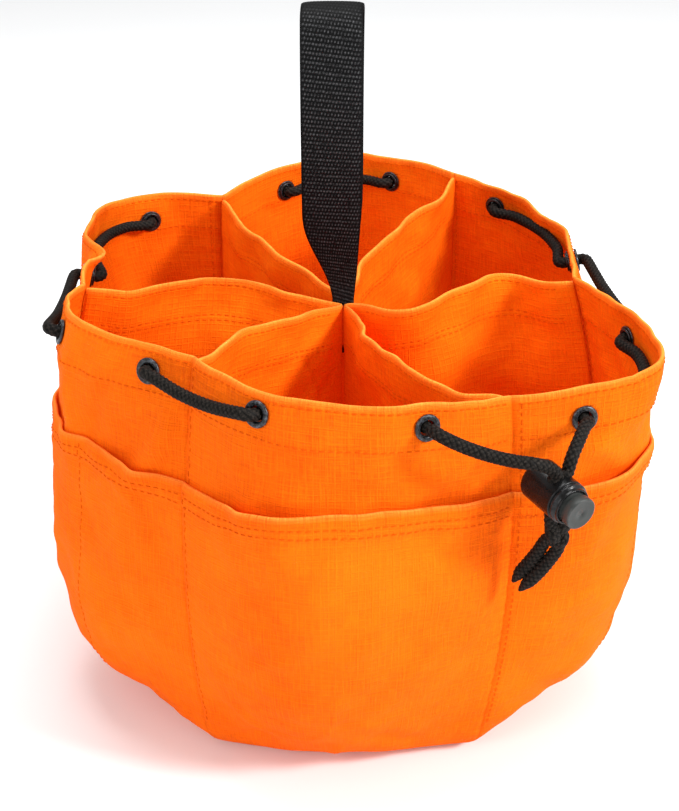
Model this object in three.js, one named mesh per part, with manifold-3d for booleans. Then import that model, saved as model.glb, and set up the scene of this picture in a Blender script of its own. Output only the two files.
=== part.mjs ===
// Electrician tool pouch: a hexagonal canvas drawstring bag with six compartments, ten outer
// pockets, a webbing loop handle and a barrel cord lock. Millimetres, +Z up, front towards -Y.
// The origin is the centre of the underside of the base.
import * as THREE from 'three';
import { mergeVertices } from 'three/addons/utils/BufferGeometryUtils.js';
import Module from 'manifold-3d';

const wasm = await Module();
wasm.setup();

// ---------------------------------------------------------------- driving dimensions
const CANVAS = 1.4; // one layer of wall, pocket or divider
const HEM_EXTRA = 0.8; // added where a hem is folded over
const GAP = 0.3; // left between pieces that touch
const FOOT_ROUND = 14; // radius where the wall turns under into the base
const RIM_HEM = 19; // depth of the hem that carries the drawstring
const POCKET_TOP = 138; // top of the outer pockets above the floor
const POCKET_FOOT = 16; // bottom of the outer pockets above the floor
const POCKET_HEM = 10; // depth of the hem along the top of a pocket
const POCKET_DEPTH = 8.5; // how far the mouth of an empty pocket stands off the wall
const CENTRE_TOP = 173; // top of the dividers in the middle of the bag
const DIVIDER_DROP = 7; // top of a divider below the rim, where it meets the wall
const DIVIDER_HEM = 20; // depth of the hem along the top of a divider
const WEBBING_WIDTH = 25.4; // one-inch webbing
const WEBBING_PINCHED = 17; // where it is gathered and sewn in
const WEBBING = 1.6; // thickness
const HANDLE_TOP = 304; // top of the handle above the floor
const HANDLE_RISE = 2.5; // foot of the handle's loop above the dividers, where it swings
const HANDLE_DEPTH = 34; // widest opening of the handle loop
const HANDLE_LEAN = 6; // how far the top of the handle leans to the left
const HANDLE_TAIL = 26; // length of webbing sewn between the dividers
const CORD = 5.2; // diameter of the drawstring
const CORD_SQUEEZE = 0.4;
const SQUEEZED_CORD = CORD - CORD_SQUEEZE; // its diameter inside the lock
const EYELET_EASE = 0.8; // how much wider than the cord an eyelet's hole is
const EYELET_FLANGE = 2.3;
const EYELET_HOLE = CORD + EYELET_EASE;
const EYELET_RIM = EYELET_HOLE + 2 * EYELET_FLANGE; // outer diameter of an eyelet's flange
const EYELET_LIP = 1.7; // width of its flared inner end
const EYELET_SHEET = 0.6; // thickness of its metal
const LOCK_SHELL = 6.6; // how much wider than its two cords the barrel is
const LOCK_DIAMETER = 2 * CORD + LOCK_SHELL;
const LOCK_LENGTH = 22;
const LOCK_WALL = 1.8;
const LOCK_COLLAR = 4; // length of the narrower neck round the button
const LOCK_CHAMFER = 1.2;
const LOCK_TILT = 8; // degrees that the button end points downwards
const BUTTON_PROUD = 5; // how far the button stands out of the barrel
const BUTTON_TRAVEL = 4;
const KNOT = 11.6; // diameter

// The six seams, in order round the bag. The angle is measured from the front towards +X, in
// degrees, and each radius is from the middle of the bag: at the floor, the belly and the rim.
const TUCK_WIDTH = 0.07; // width of a tuck, as a share of its panel
const TUCK_FADE = 6; // how fast a tuck dies out below the rim
const EYELET_FLAT = 0.055; // half the flat stretch of panel at each eyelet, as a share of it
const BELLY_AT = 0.45; // height of the belly, as a share of the seam's height
const SEAMS = {
  front_left: { angle: -31.5, foot: 106, belly: 119, rim: 109, height: 188 },
  front_right: { angle: 31, foot: 108, belly: 124, rim: 122, height: 177 },
  right: { angle: 87.5, foot: 106, belly: 117, rim: 101, height: 186 },
  back_right: { angle: 152.5, foot: 106, belly: 119, rim: 120, height: 198 },
  back_left: { angle: 210.5, foot: 106, belly: 119, rim: 118, height: 188 },
  left: { angle: 272.5, foot: 108, belly: 123, rim: 113, height: 183 },
};

// The six wall panels, each between two seams. A bulge stands out from the straight line between
// its seams and peaks at lean, from the first seam (0) to the second (1). The rise lifts the
// middle of the rim. Eyelets are placed along the panel in the same way as lean, drop below the
// rim. The drawstring draws the cloth in by tuck at the second one.
const PANELS = {
  right_front: {
    seams: ['front_right', 'right'], bulge: { foot: 4, belly: 27, rim: 48 },
    lean: 0.43, rise: 3, eyelets: [0.13, 0.75], drop: 12, tuck: 0, pockets: 2,
  },
  right_back: {
    seams: ['right', 'back_right'], bulge: { foot: 4, belly: 26, rim: 25 },
    lean: 0.55, rise: -1.5, eyelets: [0.3, 0.84], drop: 9.5, tuck: 0, pockets: 2,
  },
  back: {
    seams: ['back_right', 'back_left'], bulge: { foot: 4, belly: 27, rim: 40 },
    lean: 0.5, rise: 4, eyelets: [0.25, 0.73], drop: 12, tuck: 0, pockets: 1,
  },
  left_back: {
    seams: ['back_left', 'left'], bulge: { foot: 4, belly: 26, rim: 41 },
    lean: 0.38, rise: 4, eyelets: [0.17, 0.76], drop: 12, tuck: 12, pockets: 2,
  },
  left_front: {
    seams: ['left', 'front_left'], bulge: { foot: 4, belly: 28, rim: 22 },
    lean: 0.43, rise: 2.5, eyelets: [0.31, 0.84], drop: 9, tuck: 0, pockets: 2,
  },
  front: {
    seams: ['front_left', 'front_right'], bulge: { foot: 4, belly: 31, rim: 32 },
    lean: 0.44, rise: 3, eyelets: [0.24, 0.74], drop: 8, tuck: 0, pockets: 1,
  },
};

// The three divider sheets, each folded at its apex in the middle of the bag. Each arm runs to a
// seam; bow and sway are how far its top edge swings sideways, as one arc and as an S.
const DIVIDERS = {
  divider_left: {
    apex: [-4, -3.8],
    arms: [{ seam: 'left', bow: -18, sway: 0 }, { seam: 'front_left', bow: -8, sway: 7 }],
  },
  divider_right: {
    apex: [4, -3.8],
    arms: [{ seam: 'front_right', bow: -16, sway: 0 }, { seam: 'right', bow: 0, sway: -24 }],
  },
  divider_back: {
    apex: [0, 4],
    arms: [{ seam: 'back_right', bow: 5, sway: 0 }, { seam: 'back_left', bow: 6, sway: 0 }],
  },
};

// The free end of the drawstring. Each leg runs from its eyelet to the top of the lock, and each
// tail from the knot to its tip.
const LOCK_ANGLE = 32; // direction that the button points, in degrees from the front towards +X
const LOCK_STANDOFF = 27; // how far outside the front right seam's belly the cords cross the barrel
const LOCK_HEIGHT = 148;
const KNOT_CENTRE = [81, -127, 131];
const LEGS = {
  leg_left: [
    [36.6, -132.8, 174.3], [44, -134.3, 171.3], [53, -135.2, 168.4], [62, -135.4, 166.2],
    [69.5, -134.6, 164.9], [74.6, -132, 163],
  ],
  leg_right: [[91.2, -111, 168.5], [88.2, -117.5, 166.2], [84.8, -123.2, 163.4]],
};
const TAILS = {
  tail_left: [
    [76.9, -125.1, 126.5], [74.4, -122.9, 119.7], [71.6, -121.1, 113.7], [68.5, -119.6, 108.2],
    [66, -118.3, 103.4],
  ],
  tail_right: [
    [81.7, -126.3, 124.1], [79.2, -124.1, 117.3], [76.4, -122.3, 111.3], [73.3, -120.8, 105.8],
    [70.6, -119.6, 100.7],
  ],
};

// ---------------------------------------------------------------- materials
const material = (color, roughness, metalness = 0) =>
  new THREE.MeshStandardMaterial({ color, roughness, metalness });
const CLOTH = material(0xf9690a, 0.85);
const POCKET_CLOTH = material(0xf56208, 0.85);
const DIVIDER_CLOTH = material(0xf25a05, 0.88);
const WEB = material(0x17181a, 0.8);
const ENAMEL = material(0x141414, 0.35, 0.6);
const BRAID = material(0x1b1512, 0.75);
const PLASTIC = material(0x101112, 0.5);
const BUTTON_PLASTIC = material(0x8b8d8e, 0.55);
const STEEL = material(0xb5b8bb, 0.3, 1);

const pouch = new THREE.Group();

function addPiece(name, geometry, look) {
  const mesh = new THREE.Mesh(geometry, look);
  mesh.name = name;
  pouch.add(mesh);
  return mesh;
}

// ---------------------------------------------------------------- shape of the bag
const vector = (x, y, z) => new THREE.Vector3(x, y, z);
const UP = vector(0, 0, 1);
const FOOT_APOTHEM = SEAMS.left.foot * Math.cos(Math.PI / 6);

// A quantity that is given at the floor, the belly and the rim, at share f of the height.
function upTheBag({ foot, belly, rim }, f) {
  const atFoot = ((f - BELLY_AT) * (f - 1)) / BELLY_AT;
  const atBelly = (f * (1 - f)) / (BELLY_AT * (1 - BELLY_AT));
  const atRim = (f * (f - BELLY_AT)) / (1 - BELLY_AT);
  return foot * atFoot + belly * atBelly + rim * atRim;
}

// How much the foot's rounding draws the bag in at height z, as a share of its width.
function footShare(z) {
  const below = FOOT_ROUND + CANVAS / 2 - z;
  if (below <= 0) return 1;
  const inset = FOOT_ROUND - Math.sqrt(Math.max(FOOT_ROUND ** 2 - below ** 2, 0));
  return 1 - inset / FOOT_APOTHEM;
}

function seamDirection(seam) {
  const angle = THREE.MathUtils.degToRad(seam.angle);
  return vector(Math.sin(angle), -Math.cos(angle), 0);
}

function seamPoint(seam, f) {
  return seamDirection(seam).multiplyScalar(upTheBag(seam, f)).setZ(f * seam.height);
}

// Height of a panel's rim at share s of the way along it.
function rimHeight(panel, s) {
  const [first, second] = panel.seams.map((name) => SEAMS[name]);
  return THREE.MathUtils.lerp(first.height, second.height, s) + panel.rise * Math.sin(Math.PI * s);
}

// How far the drawstring draws a panel in at its second eyelet.
function tuckDepth(panel, s, f) {
  const away = (s - panel.eyelets[1]) / TUCK_WIDTH;
  return panel.tuck * f ** TUCK_FADE * Math.exp(-away * away);
}

// A point in the middle of a wall panel's cloth, s along it and z above the floor.
function wallPoint(panel, s, z) {
  const [first, second] = panel.seams.map((name) => SEAMS[name]);
  const f = z / rimHeight(panel, s);
  const from = seamPoint(first, f);
  const to = seamPoint(second, f);
  const outward = to.clone().sub(from).setZ(0).normalize().cross(UP);
  const skewed = s ** (Math.log(0.5) / Math.log(panel.lean));
  const bulge = upTheBag(panel.bulge, f) * Math.sin(Math.PI * skewed) - tuckDepth(panel, s, f);
  const point = from.lerp(to, s).addScaledVector(outward, bulge);
  return point.multiplyScalar(footShare(z)).setZ(z);
}

const SEAM_INSET = 0.0022; // leaves the gap between two panels at their seam

// Places along a panel where its cloth bends. The stretch at each eyelet is flat.
function stations(panel) {
  const flats = panel.eyelets.flatMap((s) => [s - EYELET_FLAT, s + EYELET_FLAT]);
  const clear = (s) => panel.eyelets.every((eyelet) => Math.abs(s - eyelet) > EYELET_FLAT * 1.3);
  const bends = [0.06, 0.14, 0.23, 0.32, 0.41, 0.5, 0.59, 0.68, 0.77, 0.86, 0.94].filter(clear);
  return [SEAM_INSET, ...bends, ...flats, 1 - SEAM_INSET].sort((a, b) => a - b);
}

// A closed sheet of cloth. points is a grid of the middle of the cloth, rows by columns, and half
// gives half its thickness at a row. turnEdge may turn the normals along the two side edges.
function sheetSolid(points, half, turnEdge = null) {
  const rows = points.length;
  const columns = points[0].length;
  const normalAt = (i, j) => {
    const [left, right] = [Math.max(j - 1, 0), Math.min(j + 1, columns - 1)];
    const [below, above] = [Math.max(i - 1, 0), Math.min(i + 1, rows - 1)];
    const along = points[i][right].clone().sub(points[i][left]);
    const up = points[above][j].clone().sub(points[below][j]);
    const normal = along.cross(up).normalize();
    const edge = j === 0 ? 0 : 1;
    return turnEdge && j % (columns - 1) === 0 ? turnEdge(normal, edge) : normal;
  };
  const positions = [];
  for (const side of [1, -1]) {
    for (let i = 0; i < rows; i += 1) {
      for (let j = 0; j < columns; j += 1) {
        const moved = points[i][j].clone().addScaledVector(normalAt(i, j), side * half(i));
        positions.push(moved.x, moved.y, moved.z);
      }
    }
  }
  const front = (i, j) => i * columns + j;
  const back = (i, j) => rows * columns + front(i, j);
  const index = [];
  const quad = (a, b, c, d) => index.push(a, b, c, a, c, d);
  for (let i = 0; i + 1 < rows; i += 1) {
    for (let j = 0; j + 1 < columns; j += 1) {
      quad(front(i, j), front(i, j + 1), front(i + 1, j + 1), front(i + 1, j));
      quad(back(i, j), back(i + 1, j), back(i + 1, j + 1), back(i, j + 1));
    }
    const end = columns - 1;
    quad(front(i, 0), front(i + 1, 0), back(i + 1, 0), back(i, 0));
    quad(back(i, end), back(i + 1, end), front(i + 1, end), front(i, end));
  }
  for (let j = 0; j + 1 < columns; j += 1) {
    const top = rows - 1;
    quad(back(0, j), back(0, j + 1), front(0, j + 1), front(0, j));
    quad(front(top, j), front(top, j + 1), back(top, j + 1), back(top, j));
  }
  const geometry = new THREE.BufferGeometry();
  geometry.setAttribute('position', new THREE.Float32BufferAttribute(positions, 3));
  geometry.setIndex(index);
  return geometry;
}

// At a seam both panels' cloth ends in the upright plane through the middle of the bag.
function seamTurner(panel) {
  const directions = panel.seams.map((name) => seamDirection(SEAMS[name]));
  return (normal, edge) => {
    const level = Math.hypot(normal.x, normal.y);
    return directions[edge].clone().multiplyScalar(level).setZ(normal.z);
  };
}

// ---------------------------------------------------------------- joining and cutting
function toManifold(geometry) {
  const bare = geometry.clone();
  bare.deleteAttribute('normal');
  bare.deleteAttribute('uv');
  const merged = mergeVertices(bare, 1e-4);
  return new wasm.Manifold(new wasm.Mesh({
    numProp: 3,
    vertProperties: new Float32Array(merged.attributes.position.array),
    triVerts: new Uint32Array(merged.index.array),
  }));
}

function fromManifold(solid) {
  const cut = solid.getMesh();
  const geometry = new THREE.BufferGeometry();
  geometry.setAttribute('position', new THREE.Float32BufferAttribute(cut.vertProperties, 3));
  geometry.setIndex(Array.from(cut.triVerts));
  return geometry;
}

// ---------------------------------------------------------------- eyelets
const HEM_HALF = (CANVAS + HEM_EXTRA) / 2;
const FLANGE_OFF = HEM_HALF + 1.5 * GAP; // inner face of an eyelet's flange, from the middle of the hem
const EYELET_SIDES = 12;
const EYELET_BARREL = EYELET_HOLE / 2 + EYELET_SHEET; // outer radius of the barrel
const FLARE_AT = -(FLANGE_OFF + EYELET_SHEET + GAP); // start of the flare behind the washer

// The middle of an eyelet and the way it faces: outwards, along the panel and up it.
function eyeletPlace(panel, s) {
  const corner = (side, below) => {
    const at = s + side * EYELET_FLAT;
    return wallPoint(panel, at, rimHeight(panel, at) - below);
  };
  const low = corner(-1, RIM_HEM).lerp(corner(1, RIM_HEM), 0.5);
  const high = corner(-1, 0).lerp(corner(1, 0), 0.5);
  const along = corner(1, panel.drop).sub(corner(-1, panel.drop)).normalize();
  const up = high.clone().sub(low).normalize();
  const outward = along.clone().cross(up).normalize();
  return { centre: high.lerp(low, panel.drop / RIM_HEM), outward, along };
}

function lathed(profile, sides) {
  return new THREE.LatheGeometry(profile.map(([r, h]) => new THREE.Vector2(r, h)), sides);
}

// A flanged tube through the hem, with its far end flared over the washer.
function eyeletGeometry() {
  const bore = EYELET_HOLE / 2;
  const rim = EYELET_RIM / 2;
  const top = FLANGE_OFF + EYELET_SHEET;
  return lathed([
    [bore, FLARE_AT - EYELET_SHEET],
    [bore + EYELET_LIP, FLARE_AT - EYELET_SHEET],
    [bore + EYELET_LIP, FLARE_AT],
    [EYELET_BARREL, FLARE_AT],
    [EYELET_BARREL, FLANGE_OFF],
    [rim, FLANGE_OFF],
    [(bore + rim) / 2, top + EYELET_SHEET / 2],
    [bore, top],
    [bore, FLARE_AT - EYELET_SHEET],
  ], EYELET_SIDES);
}

function washerGeometry() {
  const inner = EYELET_BARREL + GAP;
  const outer = EYELET_RIM / 2;
  const face = -FLANGE_OFF;
  return lathed([
    [inner, face - EYELET_SHEET],
    [outer, face - EYELET_SHEET],
    [outer, face],
    [inner, face],
    [inner, face - EYELET_SHEET],
  ], EYELET_SIDES);
}

function placeOnPanel(mesh, place) {
  mesh.position.copy(place.centre);
  mesh.quaternion.setFromUnitVectors(vector(0, 1, 0), place.outward);
}

function punch(place) {
  const radius = EYELET_BARREL + GAP;
  const tool = new THREE.CylinderGeometry(radius, radius, EYELET_RIM, EYELET_SIDES);
  tool.applyQuaternion(new THREE.Quaternion().setFromUnitVectors(vector(0, 1, 0), place.outward));
  tool.translate(place.centre.x, place.centre.y, place.centre.z);
  return toManifold(tool);
}

// ---------------------------------------------------------------- base and walls
const SIDE_HEIGHTS = [POCKET_TOP * 0.33, POCKET_TOP * 0.66]; // where walls and pockets bend
const HEM_STEP = 1.5; // height over which the cloth thickens at a hem

// Heights at which the cloth of a wall bends: round the foot, up the side and at the hem.
function wallHeights(panel, s) {
  const turns = [90, 45, 0].map((degrees) => Math.sin(THREE.MathUtils.degToRad(degrees)));
  const foot = turns.map((turn) => CANVAS / 2 + FOOT_ROUND * (1 - turn));
  const top = rimHeight(panel, s);
  return [...foot, ...SIDE_HEIGHTS, POCKET_TOP, top - RIM_HEM - HEM_STEP, top - RIM_HEM, top];
}

function addWall(name, panel) {
  const across = stations(panel);
  const rows = wallHeights(panel, 0).length;
  const points = Array.from({ length: rows }, (_, i) =>
    across.map((s) => wallPoint(panel, s, wallHeights(panel, s)[i])));
  const half = (row) => (row >= rows - 2 ? HEM_HALF : CANVAS / 2);
  const cloth = toManifold(sheetSolid(points, half, seamTurner(panel)));
  const holes = panel.eyelets.map((s) => punch(eyeletPlace(panel, s)));
  const punched = holes.reduce((solid, hole) => solid.subtract(hole), cloth);
  addPiece(`wall_${name}`, fromManifold(punched), CLOTH);
}

const BASE_INSET = 0.5; // leaves the gap between the base and the walls' turned-in feet

function addBase() {
  const trim = 1 - BASE_INSET / FOOT_APOTHEM;
  const edge = (panel) => stations(panel).slice(1).map((s) => wallPoint(panel, s, CANVAS / 2));
  const outline = Object.values(PANELS).flatMap(edge).map((point) => point.multiplyScalar(trim));
  const shape = new THREE.Shape(outline.map((point) => new THREE.Vector2(point.x, point.y)));
  addPiece('base_panel', new THREE.ExtrudeGeometry(shape, { depth: CANVAS, bevelEnabled: false }), CLOTH);
}

// ---------------------------------------------------------------- outer pockets
const POCKET_GAP = 0.8; // from the wall's cloth to the pocket's where it lies against it
const POCKET_OPENING = 1.3; // how late a pocket starts to stand off, as a power of height
const LOBE_SHAPE = 0.8; // makes the standing-off mouths rounder than a sine wave
const STEP = 0.004; // share of a panel over which its direction is measured

// The level direction that a panel's cloth faces, outwards.
function wallFacing(panel, s, z) {
  const [before, after] = [Math.max(s - STEP, 0), Math.min(s + STEP, 1)];
  return wallPoint(panel, after, z).sub(wallPoint(panel, before, z)).cross(UP).normalize();
}

function addPocket(name, panel) {
  const across = stations(panel);
  const last = across.length - 1;
  const hem = POCKET_TOP - POCKET_HEM;
  const levels = [POCKET_FOOT, ...SIDE_HEIGHTS, hem - HEM_STEP, hem, POCKET_TOP];
  const half = (row) => (row >= levels.length - 2 ? HEM_HALF : CANVAS / 2);
  const turn = seamTurner(panel);
  const points = levels.map((z, row) => across.map((s, column) => {
    const atSeam = column % last === 0;
    const facing = wallFacing(panel, s, z);
    const direction = atSeam ? turn(facing, column / last) : facing;
    const open = ((z - POCKET_FOOT) / (POCKET_TOP - POCKET_FOOT)) ** POCKET_OPENING;
    const lobe = atSeam ? 0 : Math.abs(Math.sin(Math.PI * s * panel.pockets)) ** LOBE_SHAPE;
    const off = CANVAS / 2 + POCKET_GAP + half(row) + POCKET_DEPTH * open * lobe;
    return wallPoint(panel, s, z).addScaledVector(direction, off);
  }));
  addPiece(`pocket_${name}`, sheetSolid(points, half, turn), POCKET_CLOTH);
}

// ---------------------------------------------------------------- dividers
// The sideways swing of an arm's top edge at share u of the way from the apex to the wall.
function armSwing({ bow, sway }, u) {
  const arc = Math.sin(Math.PI * u);
  return bow * arc * arc + sway * arc * Math.sin(2 * Math.PI * u);
}

function armPoint(apex, arm, u, z, lift) {
  const seam = SEAMS[arm.seam];
  const clear = HEM_HALF + 3 * GAP;
  const reach = upTheBag(seam, z / seam.height) * footShare(z - CANVAS) - clear;
  const direction = seamDirection(seam);
  const side = vector(-direction.y, direction.x, 0);
  const point = vector(apex[0], apex[1], 0).lerp(direction.multiplyScalar(reach), u);
  return point.addScaledVector(side, armSwing(arm, u) * lift).setZ(z);
}

const DIVIDER_CROWN = 4; // how far a divider's top edge rises between its ends
const ARM_SHARES = [1, 0.88, 0.74, 0.6, 0.46, 0.32, 0.18, 0.07]; // where an arm bends

function dividerTop(arm, u) {
  const atWall = SEAMS[arm.seam].height - DIVIDER_DROP;
  return THREE.MathUtils.lerp(CENTRE_TOP, atWall, u) + DIVIDER_CROWN * Math.sin(Math.PI * u);
}

// Heights at which an arm bends, from the floor of the bag to its top edge.
function armHeights(arm, u) {
  const top = dividerTop(arm, u);
  const hem = top - DIVIDER_HEM;
  const sides = [top * 0.37, top * 0.66];
  return [CANVAS + 2 * GAP, FOOT_ROUND / 2, FOOT_ROUND, ...sides, hem - HEM_STEP, hem, top];
}

function addDivider(name, { apex, arms }) {
  const column = (arm, u) => {
    const heights = armHeights(arm, u);
    const [floor, top] = [heights[0], heights.at(-1)];
    return heights.map((z) => armPoint(apex, arm, u, z, ((z - floor) / (top - floor)) ** 2));
  };
  const columns = [
    ...ARM_SHARES.map((u) => column(arms[0], u)),
    column(arms[0], 0),
    ...ARM_SHARES.map((u) => column(arms[1], u)).reverse(),
  ];
  const rows = columns[0].length;
  const points = Array.from({ length: rows }, (_, i) => columns.map((list) => list[i]));
  const half = (row) => (row >= rows - 2 ? HEM_HALF : CANVAS / 2);
  addPiece(name, sheetSolid(points, half), DIVIDER_CLOTH);
}

// ---------------------------------------------------------------- webbing handle
// The loop is a strip of webbing bent in the YZ plane; it starts and ends side by side.
const HANDLE_ROOT = CENTRE_TOP + HANDLE_RISE;
const PLY_REACH = WEBBING + GAP / 2; // from the middle of the two plies to their outer faces

function handleLine() {
  const height = (share) => THREE.MathUtils.lerp(HANDLE_ROOT, HANDLE_TOP - WEBBING / 2, share);
  const half = (HANDLE_DEPTH - WEBBING) / 2;
  const ply = (WEBBING + GAP) / 2;
  const front = [
    [-ply, height(0)], [-ply, height(0.06)], [-half * 0.5, height(0.28)],
    [-half * 0.93, height(0.55)], [-half, height(0.78)], [-half * 0.62, height(0.95)],
  ];
  const back = front.map(([y, z]) => [-y, z]).reverse();
  const all = [...front, [0, height(1)], ...back].map(([y, z]) => vector(0, y, z));
  return new THREE.CatmullRomCurve3(all, false, 'centripetal');
}

function addHandle() {
  const { lerp, smoothstep } = THREE.MathUtils;
  const line = handleLine();
  const steps = 36;
  const widening = 0.35; // share of the height over which the webbing spreads to its full width
  const points = Array.from({ length: steps + 1 }, (_, step) => {
    const middle = line.getPointAt(step / steps);
    const risen = (middle.z - HANDLE_ROOT) / (HANDLE_TOP - HANDLE_ROOT);
    const width = lerp(WEBBING_PINCHED, WEBBING_WIDTH, smoothstep(risen, 0, widening));
    const x = -HANDLE_LEAN * risen;
    return [-1, 0, 1].map((side) => vector(x + (side * width) / 2, middle.y, middle.z));
  });
  addPiece('handle_loop', sheetSolid(points, () => WEBBING / 2), WEB);
  const tail = new THREE.BoxGeometry(WEBBING_PINCHED, 2 * PLY_REACH, HANDLE_TAIL);
  const tailTop = HANDLE_ROOT - PLY_REACH - GAP;
  addPiece('handle_tail', tail, WEB).position.set(0, 0, tailTop - HANDLE_TAIL / 2);
}

// ---------------------------------------------------------------- drawstring
// A cord's route with one ring of its tube at each of its points.
class CordRoute extends THREE.Curve {
  constructor(points) {
    super();
    this.points = points;
  }

  getPoint(t) {
    const place = t * (this.points.length - 1);
    const index = Math.min(Math.floor(place), this.points.length - 2);
    return this.points[index].clone().lerp(this.points[index + 1], place - index);
  }

  getSpacedPoints() {
    return this.points.map((point) => point.clone());
  }

  getTangentAt(u) {
    const last = this.points.length - 1;
    const index = Math.round(u * last);
    const direction = (a, b) => this.points[b].clone().sub(this.points[a]).normalize();
    if (index === 0) return direction(0, 1);
    if (index === last) return direction(last - 1, last);
    return direction(index - 1, index).add(direction(index, index + 1)).normalize();
  }
}

function cordGeometry(points, diameter, sides = 8) {
  const ring = Array.from({ length: sides }, (_, k) => {
    const angle = (2 * Math.PI * k) / sides;
    return new THREE.Vector2((diameter / 2) * Math.cos(angle), (diameter / 2) * Math.sin(angle));
  });
  const section = new THREE.Shape(ring);
  const extrudePath = new CordRoute(points);
  return new THREE.ExtrudeGeometry(section, { steps: points.length - 1, extrudePath });
}

const CORD_BEND = 3.6; // radius of the drawstring's bend at an eyelet
const EYELET_REACH = FLANGE_OFF + 2 * EYELET_SHEET; // how far it runs straight, each side of a hem

// Points on a quarter bend, on one face of the hem (face 1 is the outside) and one side of the
// eyelet (side 1 is onwards round the bag), in order away from the eyelet.
function eyeletBend(place, face, side) {
  return [0, 45, 90].map((degrees) => {
    const turn = THREE.MathUtils.degToRad(degrees);
    const off = face * (EYELET_REACH + CORD_BEND * Math.sin(turn));
    const onwards = side * CORD_BEND * (1 - Math.cos(turn));
    const point = place.centre.clone().addScaledVector(place.outward, off);
    return point.addScaledVector(place.along, onwards);
  });
}

const INSIDE_OFF = HEM_HALF + CORD / 2 + 6 * GAP; // from the middle of the hem to the cord inside
const INSIDE_SPACING = 20; // one point of the cord inside for each so much of the rim's radius
const INSIDE_FIRST = 0.17; // share of the way from an eyelet to the first of those points

function insideStretch(panel) {
  const [near, far] = panel.eyelets;
  const count = Math.round(SEAMS.front_right.rim / INSIDE_SPACING);
  return Array.from({ length: count }, (_, index) => {
    const share = THREE.MathUtils.lerp(INSIDE_FIRST, 1 - INSIDE_FIRST, index / (count - 1));
    const s = THREE.MathUtils.lerp(near, far, share);
    const z = rimHeight(panel, s) - panel.drop;
    return wallPoint(panel, s, z).addScaledVector(wallFacing(panel, s, z), -INSIDE_OFF);
  });
}

// The drawstring enters at the first eyelet after the front right seam, crosses each panel on the
// inside and each seam on the outside, and leaves at the last eyelet before that seam.
function threadedPoints() {
  const points = [];
  const panels = Object.values(PANELS);
  panels.forEach((panel, index) => {
    const [near, far] = panel.eyelets.map((s) => eyeletPlace(panel, s));
    const arriving = eyeletBend(near, 1, -1).reverse();
    const leaving = eyeletBend(far, 1, 1);
    points.push(...(index === 0 ? arriving.slice(-1) : arriving), ...eyeletBend(near, -1, 1));
    points.push(...insideStretch(panel), ...eyeletBend(far, -1, -1).reverse());
    if (index === panels.length - 1) {
      points.push(leaving[0]);
      return;
    }
    const next = panels[index + 1];
    const nextArrives = eyeletBend(eyeletPlace(next, next.eyelets[0]), 1, -1)[2];
    const between = [1 / 3, 2 / 3].map((share) => leaving[2].clone().lerp(nextArrives, share));
    points.push(...leaving, ...between);
  });
  return points;
}

function addThreadedCord() {
  addPiece('drawcord_threaded', cordGeometry(threadedPoints(), CORD), BRAID);
}

// ---------------------------------------------------------------- cord lock
const lockAngle = THREE.MathUtils.degToRad(LOCK_ANGLE);
const lockReach = SEAMS.front_right.belly + LOCK_STANDOFF;
// Where the cords cross the axis of the barrel.
const LOCK_CENTRE = [lockReach * Math.sin(lockAngle), -lockReach * Math.cos(lockAngle), LOCK_HEIGHT];
const lockTilt = THREE.MathUtils.degToRad(LOCK_TILT);
const LOCK_SIDE = vector(Math.cos(lockAngle), Math.sin(lockAngle), 0);
const LOCK_AXIS = vector(0, -1, 0).applyAxisAngle(vector(1, 0, 0), lockTilt).applyAxisAngle(UP, lockAngle);
const CORDS_AT = 13.5; // where the cords cross, from the closed end of the barrel
const CORD_PITCH = CORD + GAP; // between the two cords in the lock
const lockBack = vector(...LOCK_CENTRE).addScaledVector(LOCK_AXIS, -CORDS_AT);
const PLUNGER_RADIUS = LOCK_DIAMETER / 2 - LOCK_WALL - GAP;
const SPRING_SOLID = 2.4; // length of the spring when it is fully squeezed
const SPRING_ROOM = BUTTON_TRAVEL + SPRING_SOLID;
const ROUND_SIDES = 24;
const PLUNGER_AT = LOCK_WALL + 2 * GAP + SPRING_ROOM; // inner end of the plunger

// Turns a shape made along +Y to lie along the barrel, with its zero at the closed end.
function alongLock(geometry) {
  geometry.applyQuaternion(new THREE.Quaternion().setFromUnitVectors(vector(0, 1, 0), LOCK_AXIS));
  geometry.translate(lockBack.x, lockBack.y, lockBack.z);
  return geometry;
}

// An upright slot for the two cords; spare lengthens it towards the button.
function cordSlot(spare) {
  const length = SQUEEZED_CORD + 2 * GAP;
  const width = SQUEEZED_CORD + CORD_PITCH + 2 * GAP;
  const slot = new THREE.BoxGeometry(width, length + spare, 2 * LOCK_DIAMETER);
  slot.translate(0, -spare / 2, 0);
  slot.rotateZ(lockAngle);
  slot.translate(...LOCK_CENTRE);
  return toManifold(slot);
}

function addLock() {
  const outer = LOCK_DIAMETER / 2;
  const bore = outer - LOCK_WALL;
  const neck = outer - LOCK_WALL / 2;
  const shoulder = LOCK_LENGTH - LOCK_COLLAR;
  const barrel = lathed([
    [0, 0], [outer - LOCK_CHAMFER, 0], [outer, LOCK_CHAMFER], [outer, shoulder],
    [neck, shoulder + LOCK_WALL / 2], [neck, LOCK_LENGTH], [bore, LOCK_LENGTH], [bore, LOCK_WALL],
    [0, LOCK_WALL],
  ], ROUND_SIDES);
  const slotted = toManifold(alongLock(barrel)).subtract(cordSlot(0));
  addPiece('lock_barrel', fromManifold(slotted), PLASTIC);
  const face = LOCK_LENGTH + BUTTON_PROUD;
  const edge = LOCK_CHAMFER / 2;
  const plunger = lathed([
    [0, PLUNGER_AT], [PLUNGER_RADIUS, PLUNGER_AT], [PLUNGER_RADIUS, face - edge],
    [PLUNGER_RADIUS - edge, face], [0, face],
  ], ROUND_SIDES);
  const opened = toManifold(alongLock(plunger)).subtract(cordSlot(BUTTON_TRAVEL));
  addPiece('lock_button', fromManifold(opened), BUTTON_PLASTIC);
  addSpring();
}

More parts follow.
